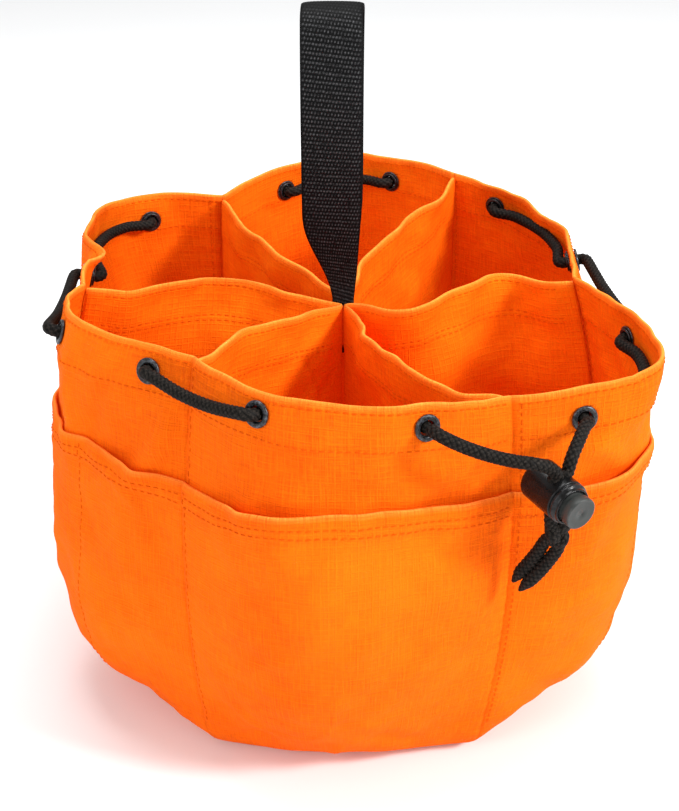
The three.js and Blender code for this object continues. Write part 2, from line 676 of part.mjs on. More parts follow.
function addSpring() {
  const wire = 0.7;
  const turns = 3;
  const perTurn = 8;
  const radius = PLUNGER_RADIUS - 2 * wire;
  const from = LOCK_WALL + GAP + wire / 2;
  const length = SPRING_ROOM - wire;
  const points = Array.from({ length: turns * perTurn + 1 }, (_, k) => {
    const angle = (2 * Math.PI * k) / perTurn;
    const along = from + (length * k) / (turns * perTurn);
    return vector(radius * Math.cos(angle), along, radius * Math.sin(angle));
  });
  addPiece('lock_spring', alongLock(cordGeometry(points, wire, 6)), STEEL);
}

// ---------------------------------------------------------------- loose end of the drawstring
const CORD_FREE = 2.2; // how far a leg runs straight out of its eyelet before it turns
const LOCK_CLEAR = 1.5; // from the barrel to the end of a leg above it
const LEG_DROP = 2.5; // straight drop at the end of a leg

// A leg's whole route: out of its eyelet, along the hand-laid points and down to the lock.
function legRoute(place, hand, end) {
  const out = (extra) =>
    place.centre.clone().addScaledVector(place.outward, EYELET_REACH + GAP + extra);
  const above = end.clone().addScaledVector(UP, LEG_DROP);
  return [out(0), out(CORD_FREE), ...hand.map((point) => vector(...point)), above, end];
}

function addLooseEnd() {
  const lockTop = LOCK_CENTRE[2] + LOCK_DIAMETER / 2 + LOCK_CLEAR;
  const knot = vector(...KNOT_CENTRE);
  const places = {
    left: eyeletPlace(PANELS.front, PANELS.front.eyelets[1]),
    right: eyeletPlace(PANELS.right_front, PANELS.right_front.eyelets[0]),
  };
  Object.entries(places).forEach(([side, place], index) => {
    const sideways = (index - 0.5) * CORD_PITCH;
    const top = vector(...LOCK_CENTRE).addScaledVector(LOCK_SIDE, sideways).setZ(lockTop);
    const legEnd = top.clone().setZ(lockTop + GAP);
    const route = legRoute(place, LEGS[`leg_${side}`], legEnd);
    addPiece(`cord_leg_${side}`, cordGeometry(route, CORD), BRAID);
    const bottom = top.clone().setZ(knot.z + KNOT / 2 + GAP);
    addPiece(`cord_through_lock_${side}`, cordGeometry([top, bottom], SQUEEZED_CORD), BRAID);
    const tail = TAILS[`tail_${side}`].map((point) => vector(...point));
    addPiece(`cord_tail_${side}`, cordGeometry(tail, CORD), BRAID);
  });
  const ball = new THREE.SphereGeometry(KNOT / 2, 14, 10);
  addPiece('cord_knot', ball, BRAID).position.copy(knot);
}

// ---------------------------------------------------------------- the whole pouch
addBase();
for (const [name, panel] of Object.entries(PANELS)) {
  addWall(name, panel);
  addPocket(name, panel);
  panel.eyelets.forEach((s, index) => {
    const place = eyeletPlace(panel, s);
    placeOnPanel(addPiece(`eyelet_${name}_${index + 1}`, eyeletGeometry(), ENAMEL), place);
    placeOnPanel(addPiece(`washer_${name}_${index + 1}`, washerGeometry(), ENAMEL), place);
  });
}
for (const [name, divider] of Object.entries(DIVIDERS)) addDivider(name, divider);
addHandle();
addThreadedCord();
addLock();
addLooseEnd();

export default pouch;
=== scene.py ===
import bpy
import numpy as np
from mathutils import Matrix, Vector


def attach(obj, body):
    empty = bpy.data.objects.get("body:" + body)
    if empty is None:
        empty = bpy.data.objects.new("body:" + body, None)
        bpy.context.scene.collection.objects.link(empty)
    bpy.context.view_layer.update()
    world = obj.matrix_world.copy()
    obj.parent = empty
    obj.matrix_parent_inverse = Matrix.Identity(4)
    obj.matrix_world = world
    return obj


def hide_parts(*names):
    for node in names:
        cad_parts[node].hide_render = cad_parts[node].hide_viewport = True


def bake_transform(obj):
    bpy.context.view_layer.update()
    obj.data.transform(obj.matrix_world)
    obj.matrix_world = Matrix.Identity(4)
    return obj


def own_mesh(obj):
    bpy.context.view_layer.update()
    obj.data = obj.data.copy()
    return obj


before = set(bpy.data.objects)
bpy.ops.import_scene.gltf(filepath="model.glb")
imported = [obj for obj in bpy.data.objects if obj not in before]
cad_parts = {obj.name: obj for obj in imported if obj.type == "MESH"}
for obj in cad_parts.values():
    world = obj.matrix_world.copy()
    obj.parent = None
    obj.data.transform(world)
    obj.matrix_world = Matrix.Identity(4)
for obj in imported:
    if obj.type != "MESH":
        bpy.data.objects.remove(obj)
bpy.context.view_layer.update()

MM = 0.001
SEED = 11

# ---------------------------------------------------------------- camera and floor
CAMERA_TARGET = (-1.6, 0.0, 122.3)
CAMERA_DISTANCE = 690.0
CAMERA_ELEVATION = np.radians(26.15)
SENSOR = 24.0
LENS = 44.75


def add_camera():
    target = Vector(CAMERA_TARGET)
    back = Vector((0.0, -np.cos(CAMERA_ELEVATION), np.sin(CAMERA_ELEVATION)))
    data = bpy.data.cameras.new("camera")
    data.sensor_fit = "VERTICAL"
    data.sensor_height = SENSOR
    data.lens = LENS
    camera = bpy.data.objects.new("camera", data)
    camera.location = (target + back * CAMERA_DISTANCE) * MM
    camera.rotation_euler = (-back).to_track_quat("-Z", "Y").to_euler()
    bpy.context.scene.collection.objects.link(camera)
    bpy.context.scene.camera = camera


# ---------------------------------------------------------------- sizes shared with the CAD part
CANVAS = 1.4
HEM_HALF = 1.1
GAP = 0.3
FOOT_ROUND = 14.0
RIM_HEM = 19.0
POCKET_TOP = 138.0
POCKET_FOOT = 16.0
POCKET_HEM = 10.0
CENTRE_TOP = 173.0
DIVIDER_DROP = 7.0
DIVIDER_HEM = 20.0
DIVIDER_CROWN = 4.0
WEBBING_WIDTH = 25.4
ROOT_WIDTH = 8.5
WEBBING = 1.6
HANDLE_TOP = 304.0
HANDLE_ROOT = 175.5
HANDLE_DEPTH = 34.0
HANDLE_LEAN = 4.8
HANDLE_TAIL = 26.0
CORD = 5.2
EYELET_HOLE = 6.0
EYELET_RIM = 10.6
EYELET_SHEET = 0.6
FLANGE_OFF = HEM_HALF + 1.5 * GAP
EYELET_REACH = FLANGE_OFF + 2 * EYELET_SHEET
CORD_BEND = 3.6
LOCK_DIAMETER = 17.0
LOCK_LENGTH = 22.0
LOCK_COLLAR = 4.0
BUTTON_PROUD = 5.0
CORDS_AT = 13.5
CORD_PITCH = CORD + GAP
KNOT = 11.6
BELLY_AT = 0.45
TUCK_WIDTH = 0.07
TUCK_FADE = 6
EYELET_FLAT = 0.055

# angle from the front, then the radius at the floor, belly and rim, and the height
SEAMS = {
    "front_left": (-31.5, 106, 119, 109, 188),
    "front_right": (31, 108, 124, 122, 177),
    "right": (87.5, 106, 117, 101, 186),
    "back_right": (152.5, 106, 119, 120, 198),
    "back_left": (210.5, 106, 119, 118, 188),
    "left": (272.5, 108, 123, 113, 183),
}

PANELS = {
    "right_front": dict(seams=("front_right", "right"), bulge=(4, 27, 48), lean=0.43, rise=3,
                        eyelets=(0.13, 0.75), drop=12, tuck=0, pockets=2),
    "right_back": dict(seams=("right", "back_right"), bulge=(4, 26, 25), lean=0.55, rise=-1.5,
                       eyelets=(0.3, 0.84), drop=9.5, tuck=0, pockets=2),
    "back": dict(seams=("back_right", "back_left"), bulge=(4, 27, 40), lean=0.5, rise=4,
                 eyelets=(0.25, 0.73), drop=12, tuck=0, pockets=1),
    "left_back": dict(seams=("back_left", "left"), bulge=(4, 26, 41), lean=0.38, rise=4,
                      eyelets=(0.17, 0.76), drop=12, tuck=12, pockets=2),
    "left_front": dict(seams=("left", "front_left"), bulge=(4, 28, 22), lean=0.43, rise=2.5,
                       eyelets=(0.31, 0.84), drop=9, tuck=0, pockets=2),
    "front": dict(seams=("front_left", "front_right"), bulge=(4, 31, 32), lean=0.44, rise=3,
                  eyelets=(0.24, 0.74), drop=8, tuck=0, pockets=1),
}

DIVIDERS = {
    "divider_left": dict(apex=(0.3, -3.6), arms=(("left", -18, 0), ("front_left", -8, 7))),
    "divider_right": dict(apex=(-0.3, -3.6), arms=(("front_right", -16, 0), ("right", 0, -24))),
    "divider_back": dict(apex=(0, 4), arms=(("back_right", 5, 0), ("back_left", 6, 0))),
}

LOCK_ANGLE = np.radians(32)
LOCK_REACH = 151.0
LOCK_CENTRE = np.array([LOCK_REACH * np.sin(LOCK_ANGLE), -LOCK_REACH * np.cos(LOCK_ANGLE), 148.0])
LOCK_TILT = np.radians(8)
KNOT_CENTRE = np.array([81.0, -127.0, 131.0])
LEG_LEFT = [
    (36.6, -132.8, 174.3), (44, -134.3, 171.3), (53, -135.2, 168.4), (62, -135.4, 166.2),
    (69.5, -134.6, 164.6), (75, -131.8, 161.6), (78.4, -129.5, 157.6), (79.4, -128.8, 153.5),
]
LEG_RIGHT = [(91.2, -111, 168.5), (88.2, -117.5, 166.2), (84.8, -123.6, 161.6), (82.6, -126.2, 154)]
TAIL_LEFT = [
    (76.9, -125.1, 126.5), (74.4, -122.9, 119.7), (71.6, -121.1, 113.7), (68.5, -119.6, 108.2),
    (66, -118.3, 103.4),
]
TAIL_RIGHT = [
    (81.6, -126.3, 124.1), (78.7, -124.5, 117.3), (75.3, -123.2, 111.4), (71.8, -122, 106),
    (68.4, -121, 101),
]

# ---------------------------------------------------------------- small maths
UP = np.array([0.0, 0.0, 1.0])


def unit(v):
    v = np.asarray(v, float)
    return v / np.maximum(np.linalg.norm(v, axis=-1, keepdims=True), 1e-9)


def smooth(x, low, high):
    t = np.clip((np.asarray(x, float) - low) / (high - low), 0, 1)
    return t * t * (3 - 2 * t)


def bell(x, middle, width):
    return np.exp(-(((np.asarray(x, float) - middle) / width) ** 2))


class Waves:
    """Smooth noise in space: a sum of plane waves of about one wavelength, fixed by its seed."""

    def __init__(self, seed, wavelength, count=14):
        rng = np.random.default_rng(SEED + seed)
        direction = unit(rng.normal(size=(count, 3)))
        size = 2 * np.pi / (wavelength * rng.uniform(0.7, 1.5, size=(count, 1)))
        self.k = direction * size
        self.phase = rng.uniform(0, 2 * np.pi, size=count)

    def __call__(self, points):
        return np.sin(points @ self.k.T + self.phase).sum(-1) / np.sqrt(len(self.phase) / 2)


broad = Waves(1, 70)
medium = Waves(2, 30)
fine = Waves(3, 12)
crumple = Waves(4, 52)
crumpled_where = Waves(5, 85)


def creases(points):
    """Sharp ridges that wander over the cloth and fade in and out."""
    ridge = np.exp(-((crumple(points) / 0.22) ** 2))
    return ridge * smooth(crumpled_where(points), -0.2, 1.2)


def distances(points):
    steps = np.linalg.norm(np.diff(points, axis=0), axis=1)
    return np.concatenate([[0.0], np.cumsum(steps)])


def spline(points, spacing):
    """A smooth centripetal curve through the points, resampled at an even spacing."""
    p = np.asarray(points, float)
    p = np.vstack([2 * p[0] - p[1], p, 2 * p[-1] - p[-2]])
    found = []
    for a, b, c, d in zip(p, p[1:], p[2:], p[3:]):
        t0 = 0.0
        t1 = t0 + np.linalg.norm(b - a) ** 0.5
        t2 = t1 + np.linalg.norm(c - b) ** 0.5
        t3 = t2 + np.linalg.norm(d - c) ** 0.5
        t = np.linspace(t1, t2, 12, endpoint=False)[:, None]
        a1 = (t1 - t) / (t1 - t0) * a + (t - t0) / (t1 - t0) * b
        a2 = (t2 - t) / (t2 - t1) * b + (t - t1) / (t2 - t1) * c
        a3 = (t3 - t) / (t3 - t2) * c + (t - t2) / (t3 - t2) * d
        b1 = (t2 - t) / (t2 - t0) * a1 + (t - t0) / (t2 - t0) * a2
        b2 = (t3 - t) / (t3 - t1) * a2 + (t - t1) / (t3 - t1) * a3
        found.append((t2 - t) / (t2 - t1) * b1 + (t - t1) / (t2 - t1) * b2)
    dense = np.vstack(found + [p[-2][None]])
    run = distances(dense)
    places = np.linspace(0, run[-1], max(int(round(run[-1] / spacing)), 2) + 1)
    return np.stack([np.interp(places, run, dense[:, k]) for k in range(3)], 1)


def frames_along(path):
    """Two steady side directions along a path."""
    tangents = unit(np.gradient(path, axis=0))
    side = unit(np.cross(tangents[0], [0.3, 0.2, 1.0]))
    sides = [side]
    for tangent in tangents[1:]:
        side = unit(side - tangent * (side @ tangent))
        sides.append(side)
    sides = np.array(sides)
    return sides, np.cross(tangents, sides)


# ---------------------------------------------------------------- meshes
def make_object(name, points, quads, material, uv, crest=None):
    """A mesh object from points in millimetres and quads, with unused points dropped."""
    quads = np.asarray(quads, np.int64)
    used, inverse = np.unique(quads.ravel(), return_inverse=True)
    corners = inverse.astype(np.int32)
    points = np.asarray(points, float)[used] * MM
    mesh = bpy.data.meshes.new(name)
    mesh.vertices.add(len(points))
    mesh.vertices.foreach_set("co", points.astype(np.float32).ravel())
    mesh.loops.add(len(corners))
    mesh.loops.foreach_set("vertex_index", corners)
    mesh.polygons.add(len(quads))
    mesh.polygons.foreach_set("loop_start", np.arange(0, len(corners), 4, dtype=np.int32))
    mesh.polygons.foreach_set("use_smooth", np.ones(len(quads), bool))
    layer = mesh.uv_layers.new(name="UVMap")
    layer.data.foreach_set("uv", np.asarray(uv, np.float32)[used][corners].ravel())
    if crest is not None:
        values = mesh.attributes.new("crest", "FLOAT", "POINT")
        values.data.foreach_set("value", np.asarray(crest, np.float32)[used])
    mesh.materials.append(material)
    mesh.update(calc_edges=True)
    mesh.validate()
    made = bpy.data.objects.new(name, mesh)
    bpy.context.scene.collection.objects.link(made)
    return made


def grid_quads(rows, columns, wrap=False):
    i = np.arange(rows - 1)[:, None]
    j = np.arange(columns if wrap else columns - 1)[None, :]
    right = (j + 1) % columns
    here = i * columns + j
    return np.stack([here, i * columns + right, (i + 1) * columns + right, here + columns],
                    -1).reshape(-1, 4)


def surface_normals(middle):
    """Outward directions of a grid of points, rows upwards and columns along."""
    along = np.gradient(middle, axis=1)
    up = np.gradient(middle, axis=0)
    return unit(np.cross(along, up))


# The two points that round a sheet's top edge: share of the half thickness outwards and upwards.
LIP = ((0.5, 0.87), (-0.5, 0.87))
# Painted highlight along a sheet's rounded top edge: its strength on the last outer row, the two lip rows
# and the first inner row.
LIP_HIGHLIGHT = (0.35, 1.0, 1.0, 0.35)


def cloth(name, middle, half, material, holes=None, turn=None):
    """A closed sheet: outer skin, round top edge, inner skin, and edges closed all round.

    Returns the object and the grids of points on the outer and inner skin with their normals."""
    rows, columns = middle.shape[:2]
    normal = surface_normals(middle)
    if turn is not None:
        normal[:, 0] = turn[0]
        normal[:, -1] = turn[1]
    half = np.broadcast_to(np.asarray(half, float).reshape(rows, -1), (rows, columns))[..., None]
    outer = middle + normal * half
    inner = middle - normal * half
    upward = unit(middle[-1] - middle[-2])
    lip = [middle[-1] + half[-1] * (normal[-1] * c + upward * s)
           for c, s in LIP]
    ring = np.concatenate([outer, np.array(lip), inner[::-1]], 0)
    count = len(ring)
    widths = np.linalg.norm(np.diff(middle, axis=1), axis=2).mean(0)
    across = np.concatenate([[0], np.cumsum(widths)])
    height = distances(middle[:, columns // 2])
    v = np.concatenate([height, height[-1:] + 1.0, height[-1:] + 1.0, height[::-1]])
    uv = np.stack(np.broadcast_arrays(across[None, :], v[:, None]), -1) / 10.0
    quads = grid_quads(count, columns)
    closing = np.stack([(count - 1) * columns + np.arange(columns - 1),
                        (count - 1) * columns + np.arange(1, columns),
                        np.arange(1, columns), np.arange(columns - 1)], 1)

    def opposite(row):
        return count - 1 - row

    def corner(row, column, outside):
        return (row if outside else opposite(row)) * columns + column

    ends = []
    for i in range(rows - 1):
        first = [i * columns, (i + 1) * columns, opposite(i + 1) * columns, opposite(i) * columns]
        last = [k + columns - 1 for k in first]
        ends += [first, last[::-1]]
    top = [(rows - 1) * columns, rows * columns, (rows + 1) * columns, (rows + 2) * columns]
    ends += [top, [k + columns - 1 for k in top][::-1]]
    keep = np.ones(len(quads), bool)
    walls = []
    if holes is not None:
        keep_grid = keep.reshape(count - 1, columns - 1)
        for i, j in zip(*np.nonzero(holes)):
            keep_grid[i, j] = False
            keep_grid[opposite(i + 1), j] = False
            around = [((i, j), (i, j + 1), (i - 1, j)), ((i, j + 1), (i + 1, j + 1), (i, j + 1)),
                      ((i + 1, j + 1), (i + 1, j), (i + 1, j)), ((i + 1, j), (i, j), (i, j - 1))]
            for a, b, next_cell in around:
                if not holes[next_cell]:
                    walls.append([corner(*a, True), corner(*b, True),
                                  corner(*b, False), corner(*a, False)])
    parts = [quads[keep], closing, np.array(ends)] + ([np.array(walls)] if walls else [])
    # The rows round the top edge carry the painted highlight in the crest attribute.
    lip_highlight = np.zeros(count)
    lip_highlight[rows - 1:rows + 3] = LIP_HIGHLIGHT
    made = make_object(name, ring.reshape(-1, 3), np.vstack(parts), material,
                       uv.reshape(-1, 2), np.repeat(lip_highlight, columns))
    return made, outer, inner, normal


# ---------------------------------------------------------------- materials
class Look:
    """A Principled material built node by node."""

    def __init__(self, name, **shader):
        self.material = bpy.data.materials.new(name)
        self.material.use_nodes = True
        self.tree = self.material.node_tree
        self.shader = self.tree.nodes["Principled BSDF"]
        for key, value in shader.items():
            self.shader.inputs[key.replace("_", " ")].default_value = value

    def node(self, kind, inputs=(), **settings):
        made = self.tree.nodes.new("ShaderNode" + kind)
        for key, value in settings.items():
            setattr(made, key, value)
        for key, value in dict(inputs).items():
            if isinstance(value, bpy.types.NodeSocket):
                self.tree.links.new(value, made.inputs[key])
            else:
                made.inputs[key].default_value = value
        return made

    def maths(self, operation, a, b):
        return self.node("Math", {0: a, 1: b}, operation=operation).outputs[0]

    def remap(self, value, low, high, to_low=0.0, to_high=1.0):
        made = self.node("MapRange", {"Value": value, "From Min": low, "From Max": high,
                                      "To Min": to_low, "To Max": to_high})
        return made.outputs[0]

    def noise(self, vector, stretch, detail=2.0, roughness=0.6):
        scaled = self.node("Mapping", {"Vector": vector, "Scale": stretch}).outputs[0]
        made = self.node("TexNoise", {"Vector": scaled, "Scale": 1.0, "Detail": detail,
                                      "Roughness": roughness})
        return made.outputs[0]

    def mix(self, factor, a, b):
        made = self.node("Mix", data_type="RGBA")
        for index, value in ((0, factor), (6, a), (7, b)):
            if isinstance(value, bpy.types.NodeSocket):
                self.tree.links.new(value, made.inputs[index])
            else:
                made.inputs[index].default_value = value
        return made.outputs[2]

    def set(self, socket, value):
        self.tree.links.new(value, self.shader.inputs[socket])

    def bump(self, height, strength, distance):
        made = self.node("Bump", {"Height": height, "Strength": strength, "Distance": distance})
        self.set("Normal", made.outputs[0])

    def uv(self):
        return self.node("UVMap", uv_map="UVMap").outputs[0]

    def place(self):
        return self.node("TexCoord").outputs["Object"]

    def crest(self):
        return self.node("Attribute", attribute_name="crest").outputs["Fac"]


RIPSTOP = 0.27  # pitch of the heavier threads, in centimetres of cloth


def canvas_look(name, body, deep, light):
    """Ripstop canvas: slubby threads both ways, a grid of heavier threads, uneven dye, a painted
    highlight on the folded top edge and a faint painted glow.
    """
    look = Look(name, Roughness=0.9, Specular_IOR_Level=0.06, Emission_Strength=0.09)
    # Painted glow: a faint red-orange emission stands in for the light that the thin cloth lets through
    # into its shaded folds and insides.
    look.shader.inputs["Emission Color"].default_value = (1.0, 0.07, 0.0, 1)
    uv = look.uv()
    split = look.node("SeparateXYZ", {0: uv})
    lines = []
    for axis in (0, 1):
        apart = look.maths("PINGPONG", split.outputs[axis], RIPSTOP / 2)
        lines.append(look.remap(apart, 0.012, 0.035, 1.0, 0.0))
    grid = look.maths("MAXIMUM", *lines)
    weft = look.noise(uv, (1.1, 22.0, 1.0), 3.0)
    warp = look.noise(uv, (20.0, 0.9, 1.0), 3.0)
    threads = look.maths("ADD", weft, warp)
    dye = look.noise(look.place(), (14.0, 14.0, 14.0), 3.0)
    shade = look.remap(threads, 0.82, 1.16)
    colour = look.mix(shade, deep, body)
    colour = look.mix(look.remap(dye, 0.35, 0.65, 0.0, 0.5), colour, light)
    colour = look.mix(look.maths("MULTIPLY", grid, 0.22), colour, light)
    # Painted highlight: the folded top edge is painted a lighter orange, broken up by the threads.
    lip_highlight = look.maths("MULTIPLY", look.crest(), look.remap(threads, 0.7, 1.2, 0.25, 0.8))
    colour = look.mix(lip_highlight, colour, (1.0, 0.36, 0.06, 1))
    look.set("Base Color", colour)
    look.set("Roughness", look.remap(threads, 0.7, 1.3, 0.74, 0.9))
    relief = look.maths("ADD", look.maths("MULTIPLY", grid, 0.35), threads)
    look.bump(relief, 0.85, 0.0005)
    return look.material


def fleck_look(name, deep, pale, roughness, fleck, bump_size):
    """Black fibre: painted shade between the strands and painted highlights on their crests, with
    scattered flecks.
    """
    look = Look(name, Roughness=roughness, Specular_IOR_Level=0.08)
    place = look.place()
    fibre = look.noise(place, (fleck, fleck, fleck), 3.0, 0.7)
    # Painted highlight: the crests that the crest attribute marks are painted paler, in flecks.
    crest = look.maths("MULTIPLY", look.crest(), look.remap(fibre, 0.35, 0.7))
    look.set("Base Color", look.mix(crest, deep, pale))
    look.set("Roughness", look.remap(fibre, 0.3, 0.7, roughness - 0.12, roughness + 0.1))
    look.bump(fibre, 0.4, bump_size)
    return look.material


def enamel_look():
    """Black enamel worn to bare metal on the crest of the rim."""
    look = Look("eyelet_enamel", Roughness=0.3)
    place = look.place()
    scuff = look.noise(place, (900.0, 900.0, 900.0), 4.0, 0.7)
    wear_and_highlight = look.maths("MULTIPLY", look.crest(), look.remap(scuff, 0.47, 0.66))
    look.set("Base Color", look.mix(wear_and_highlight, (0.006, 0.006, 0.007, 1), (0.12, 0.135, 0.16, 1)))
    look.set("Metallic", look.remap(wear_and_highlight, 0.0, 1.0, 0.2, 0.9))
    look.set("Roughness", look.remap(scuff, 0.3, 0.7, 0.24, 0.46))
    look.bump(scuff, 0.15, 0.0001)
    return look.material


def plastic_look(name, body, pale, roughness):
    """Moulded plastic with a fine satin grain, blotchy tone, and painted highlights on the edges that the
    crest attribute marks.
    """
    look = Look(name, Roughness=roughness, Specular_IOR_Level=0.2)
    place = look.place()
    grain = look.noise(place, (1500.0, 1500.0, 1500.0), 2.0)
    blotch_noise = look.noise(place, (260.0, 260.0, 260.0), 4.0, 0.7)
    # Painted highlight where the crest attribute marks the edges, broken up by the blotch noise.
    wear_and_highlight = look.maths("MULTIPLY", look.crest(), look.remap(blotch_noise, 0.4, 0.65))
    colour = look.mix(look.remap(blotch_noise, 0.3, 0.7, 0.0, 0.35), body, pale)
    look.set("Base Color", look.mix(wear_and_highlight, colour, pale))
    look.set("Roughness", look.remap(grain, 0.3, 0.7, roughness - 0.06, roughness + 0.08))
    look.bump(grain, 0.12, 0.00008)
    return look.material


def wire_look():
    look = Look("spring_wire", Roughness=0.3, Metallic=1.0)
    drawn = look.noise(look.place(), (2500.0, 2500.0, 600.0), 2.0)
    look.set("Base Color", look.mix(drawn, (0.32, 0.33, 0.34, 1), (0.6, 0.61, 0.62, 1)))
    look.set("Roughness", look.remap(drawn, 0.3, 0.7, 0.22, 0.4))
    return look.material


def floor_look():
    look = Look("floor", Roughness=0.9, Specular_IOR_Level=0.1, Emission_Strength=0.07)
    look.shader.inputs["Emission Color"].default_value = (1, 1, 1, 1)
    mottle = look.noise(look.place(), (3.0, 3.0, 3.0), 2.0)
    look.set("Base Color", look.mix(mottle, (0.83, 0.835, 0.84, 1), (0.86, 0.865, 0.87, 1)))
    return look.material


# Orange dye as the outside and the pockets show it, a copy painted a little lighter for the dividers as
# painted light inside the bag, and a darker orange for the thread.
CANVAS_LOOK = canvas_look("canvas", (0.92, 0.135, 0.0015, 1), (0.72, 0.08, 0.0006, 1),
                          (0.98, 0.2, 0.004, 1))
LIGHTENED_INNER_LOOK = canvas_look("canvas_inner", (0.93, 0.15, 0.0015, 1), (0.76, 0.09, 0.0006, 1),
                         (0.98, 0.21, 0.004, 1))
THREAD_LOOK = canvas_look("thread", (0.84, 0.11, 0.0015, 1), (0.68, 0.075, 0.0006, 1),
                          (0.95, 0.16, 0.003, 1))
# The second colour of the braid and the webbing is the painted highlight on their crests.
BRAID_LOOK = fleck_look("braid", (0.001, 0.0009, 0.0008, 1), (0.042, 0.034, 0.028, 1), 0.6,
                        1500.0, 0.00012)
WEBBING_LOOK = fleck_look("webbing", (0.0015, 0.0015, 0.0017, 1), (0.13, 0.13, 0.135, 1), 0.6,
                          1100.0, 0.0001)
ENAMEL_LOOK = enamel_look()
BARREL_LOOK = plastic_look("lock_plastic", (0.002, 0.002, 0.002, 1), (0.02, 0.02, 0.021, 1), 0.22)
BUTTON_LOOK = plastic_look("button_plastic", (0.03, 0.033, 0.031, 1), (0.06, 0.063, 0.06, 1), 0.4)
WIRE_LOOK = wire_look()


# ---------------------------------------------------------------- shape of the bag
def up_the_bag(three, f):
    foot, belly, rim = three
    return (foot * (f - BELLY_AT) * (f - 1) / BELLY_AT
            + belly * f * (1 - f) / (BELLY_AT * (1 - BELLY_AT))
            + rim * f * (f - BELLY_AT) / (1 - BELLY_AT))


FOOT_APOTHEM = SEAMS["left"][1] * np.cos(np.pi / 6)


def foot_share(z):
    below = np.clip(FOOT_ROUND + CANVAS / 2 - z, 0, FOOT_ROUND)
    inset = FOOT_ROUND - np.sqrt(FOOT_ROUND ** 2 - below ** 2)
    return 1 - inset / FOOT_APOTHEM


def seam_direction(seam):
    angle = np.radians(SEAMS[seam][0])
    return np.array([np.sin(angle), -np.cos(angle), 0.0])


def seam_point(seam, f):
    radius = up_the_bag(SEAMS[seam][1:4], f)
    return seam_direction(seam) * radius[..., None]


def rim_height(panel, s):
    first, second = (SEAMS[name][4] for name in panel["seams"])
    return first + (second - first) * s + panel["rise"] * np.sin(np.pi * s)


# How the sagging cloth stands out from the plain panels: height, then millimetres outwards.
SAG = {
    "left_front": ((0, 0), (15, 2), (28, 7), (50, 4), (72, -1), (105, -10), (138, -11), (162, -2),
                   (175, 0)),
    "front": ((0, 0), (15, 4), (30, 5), (60, 3), (90, 0), (120, -4), (138, -6), (155, -4),
              (172, 0)),
    "right_front": ((0, 0), (13, 2), (22, 9), (40, 11), (60, 9), (80, 7), (103, 4), (135, -1),
                    (150, -1), (165, 0)),
    "right_back": ((0, 0), (13, 2), (22, 6), (40, 8), (60, 6), (80, 4), (103, 2), (135, -1),
                   (165, 0)),
    "back": ((0, 0), (15, 3), (30, 5), (60, 3), (90, 0), (120, -3), (138, -4), (160, -2),
             (175, 0)),
    "left_back": ((0, 0), (15, 2), (28, 6), (50, 4), (72, 0), (105, -6), (138, -7), (160, -2),
                  (175, 0)),
}
SAG_HEIGHTS = np.arange(-20.0, 231.0)
SAG_BLUR = np.hanning(25) / np.hanning(25).sum()
SAG_PROFILES = {
    name: np.convolve(np.interp(SAG_HEIGHTS, *np.array(points).T), SAG_BLUR, "same")
    for name, points in SAG.items()
}
for panel_key, panel_values in PANELS.items():
    panel_values["name"] = panel_key


def wall_point(panel, s, z):
    """Points in the middle of a wall panel's cloth, s along it and z above the floor."""
    s, z = np.broadcast_arrays(np.asarray(s, float), np.asarray(z, float))
    f = z / rim_height(panel, s)
    start = seam_point(panel["seams"][0], f)
    end = seam_point(panel["seams"][1], f)
    outward = unit(np.cross(end - start, UP))
    skewed = np.clip(s, 0, 1) ** (np.log(0.5) / np.log(panel["lean"]))
    sag = np.interp(z, SAG_HEIGHTS, SAG_PROFILES[panel["name"]])
    tuck = panel["tuck"] * f ** TUCK_FADE * bell(s, panel["eyelets"][1], TUCK_WIDTH)
    bulge = (up_the_bag(panel["bulge"], f) + sag) * np.sin(np.pi * skewed) - tuck
    point = start + (end - start) * s[..., None] + outward * bulge[..., None]
    point = point * foot_share(z)[..., None]
    point[..., 2] = z
    return point


def eyelet_place(panel, s):
    """The middle of an eyelet, the way it faces, and the way along the panel."""
    def corner(side, below):
        at = s + side * EYELET_FLAT
        return wall_point(panel, at, rim_height(panel, at) - below)

    low = (corner(-1, RIM_HEM) + corner(1, RIM_HEM)) / 2
    high = (corner(-1, 0) + corner(1, 0)) / 2
    along = unit(corner(1, panel["drop"]) - corner(-1, panel["drop"]))
    outward = unit(np.cross(along, unit(high - low)))
    return high + (low - high) * panel["drop"] / RIM_HEM, outward, along


# Folds pressed into the cloth: panel, share along, height, slope in degrees, half length,
# half width and depth in millimetres, inwards when negative.
FOLDS = {
    "left_front": [(0.88, 148, 52, 26, 5, 2.6), (0.45, 152, 86, 26, 7, 2.0), (0.62, 158, 60, 18, 4, -1.5),
                   (0.2, 60, 70, 30, 9, 1.6), (0.35, 24, 35, 18, 5, -1.4)],
    "front": [(0.12, 150, -50, 22, 6, -0.6), (0.3, 146, 20, 26, 6, 1.3), (0.55, 150, -12, 30, 7, -1.4),
              (0.8, 152, 25, 22, 6, 1.6), (0.5, 60, 8, 60, 14, 1.2), (0.2, 22, 30, 16, 5, -1.4),
              (0.7, 20, -25, 18, 5, -1.3)],
    "right_front": [(0.2, 152, -35, 20, 5, 1.8), (0.45, 156, 15, 26, 6, -1.5), (0.6, 70, 80, 34, 9, 1.5),
                    (0.3, 24, -30, 18, 5, -1.4), (0.8, 150, 60, 18, 5, 1.4)],
    "right_back": [(0.5, 150, 70, 26, 7, 1.6), (0.7, 60, 60, 30, 9, 1.5)],
    "back": [(0.3, 150, 60, 24, 6, 1.6), (0.65, 155, -55, 24, 6, -1.5), (0.5, 70, 80, 34, 9, 1.5)],
    "left_back": [(0.45, 160, 75, 26, 7, -1.6), (0.6, 140, 65, 24, 6, 1.6), (0.3, 60, 60, 30, 9, 1.5)],
}


def seam_distance(s, width):
    """Distance along the cloth to the nearer seam."""
    return np.clip(np.minimum(s, 1 - s), 0, 1) * width


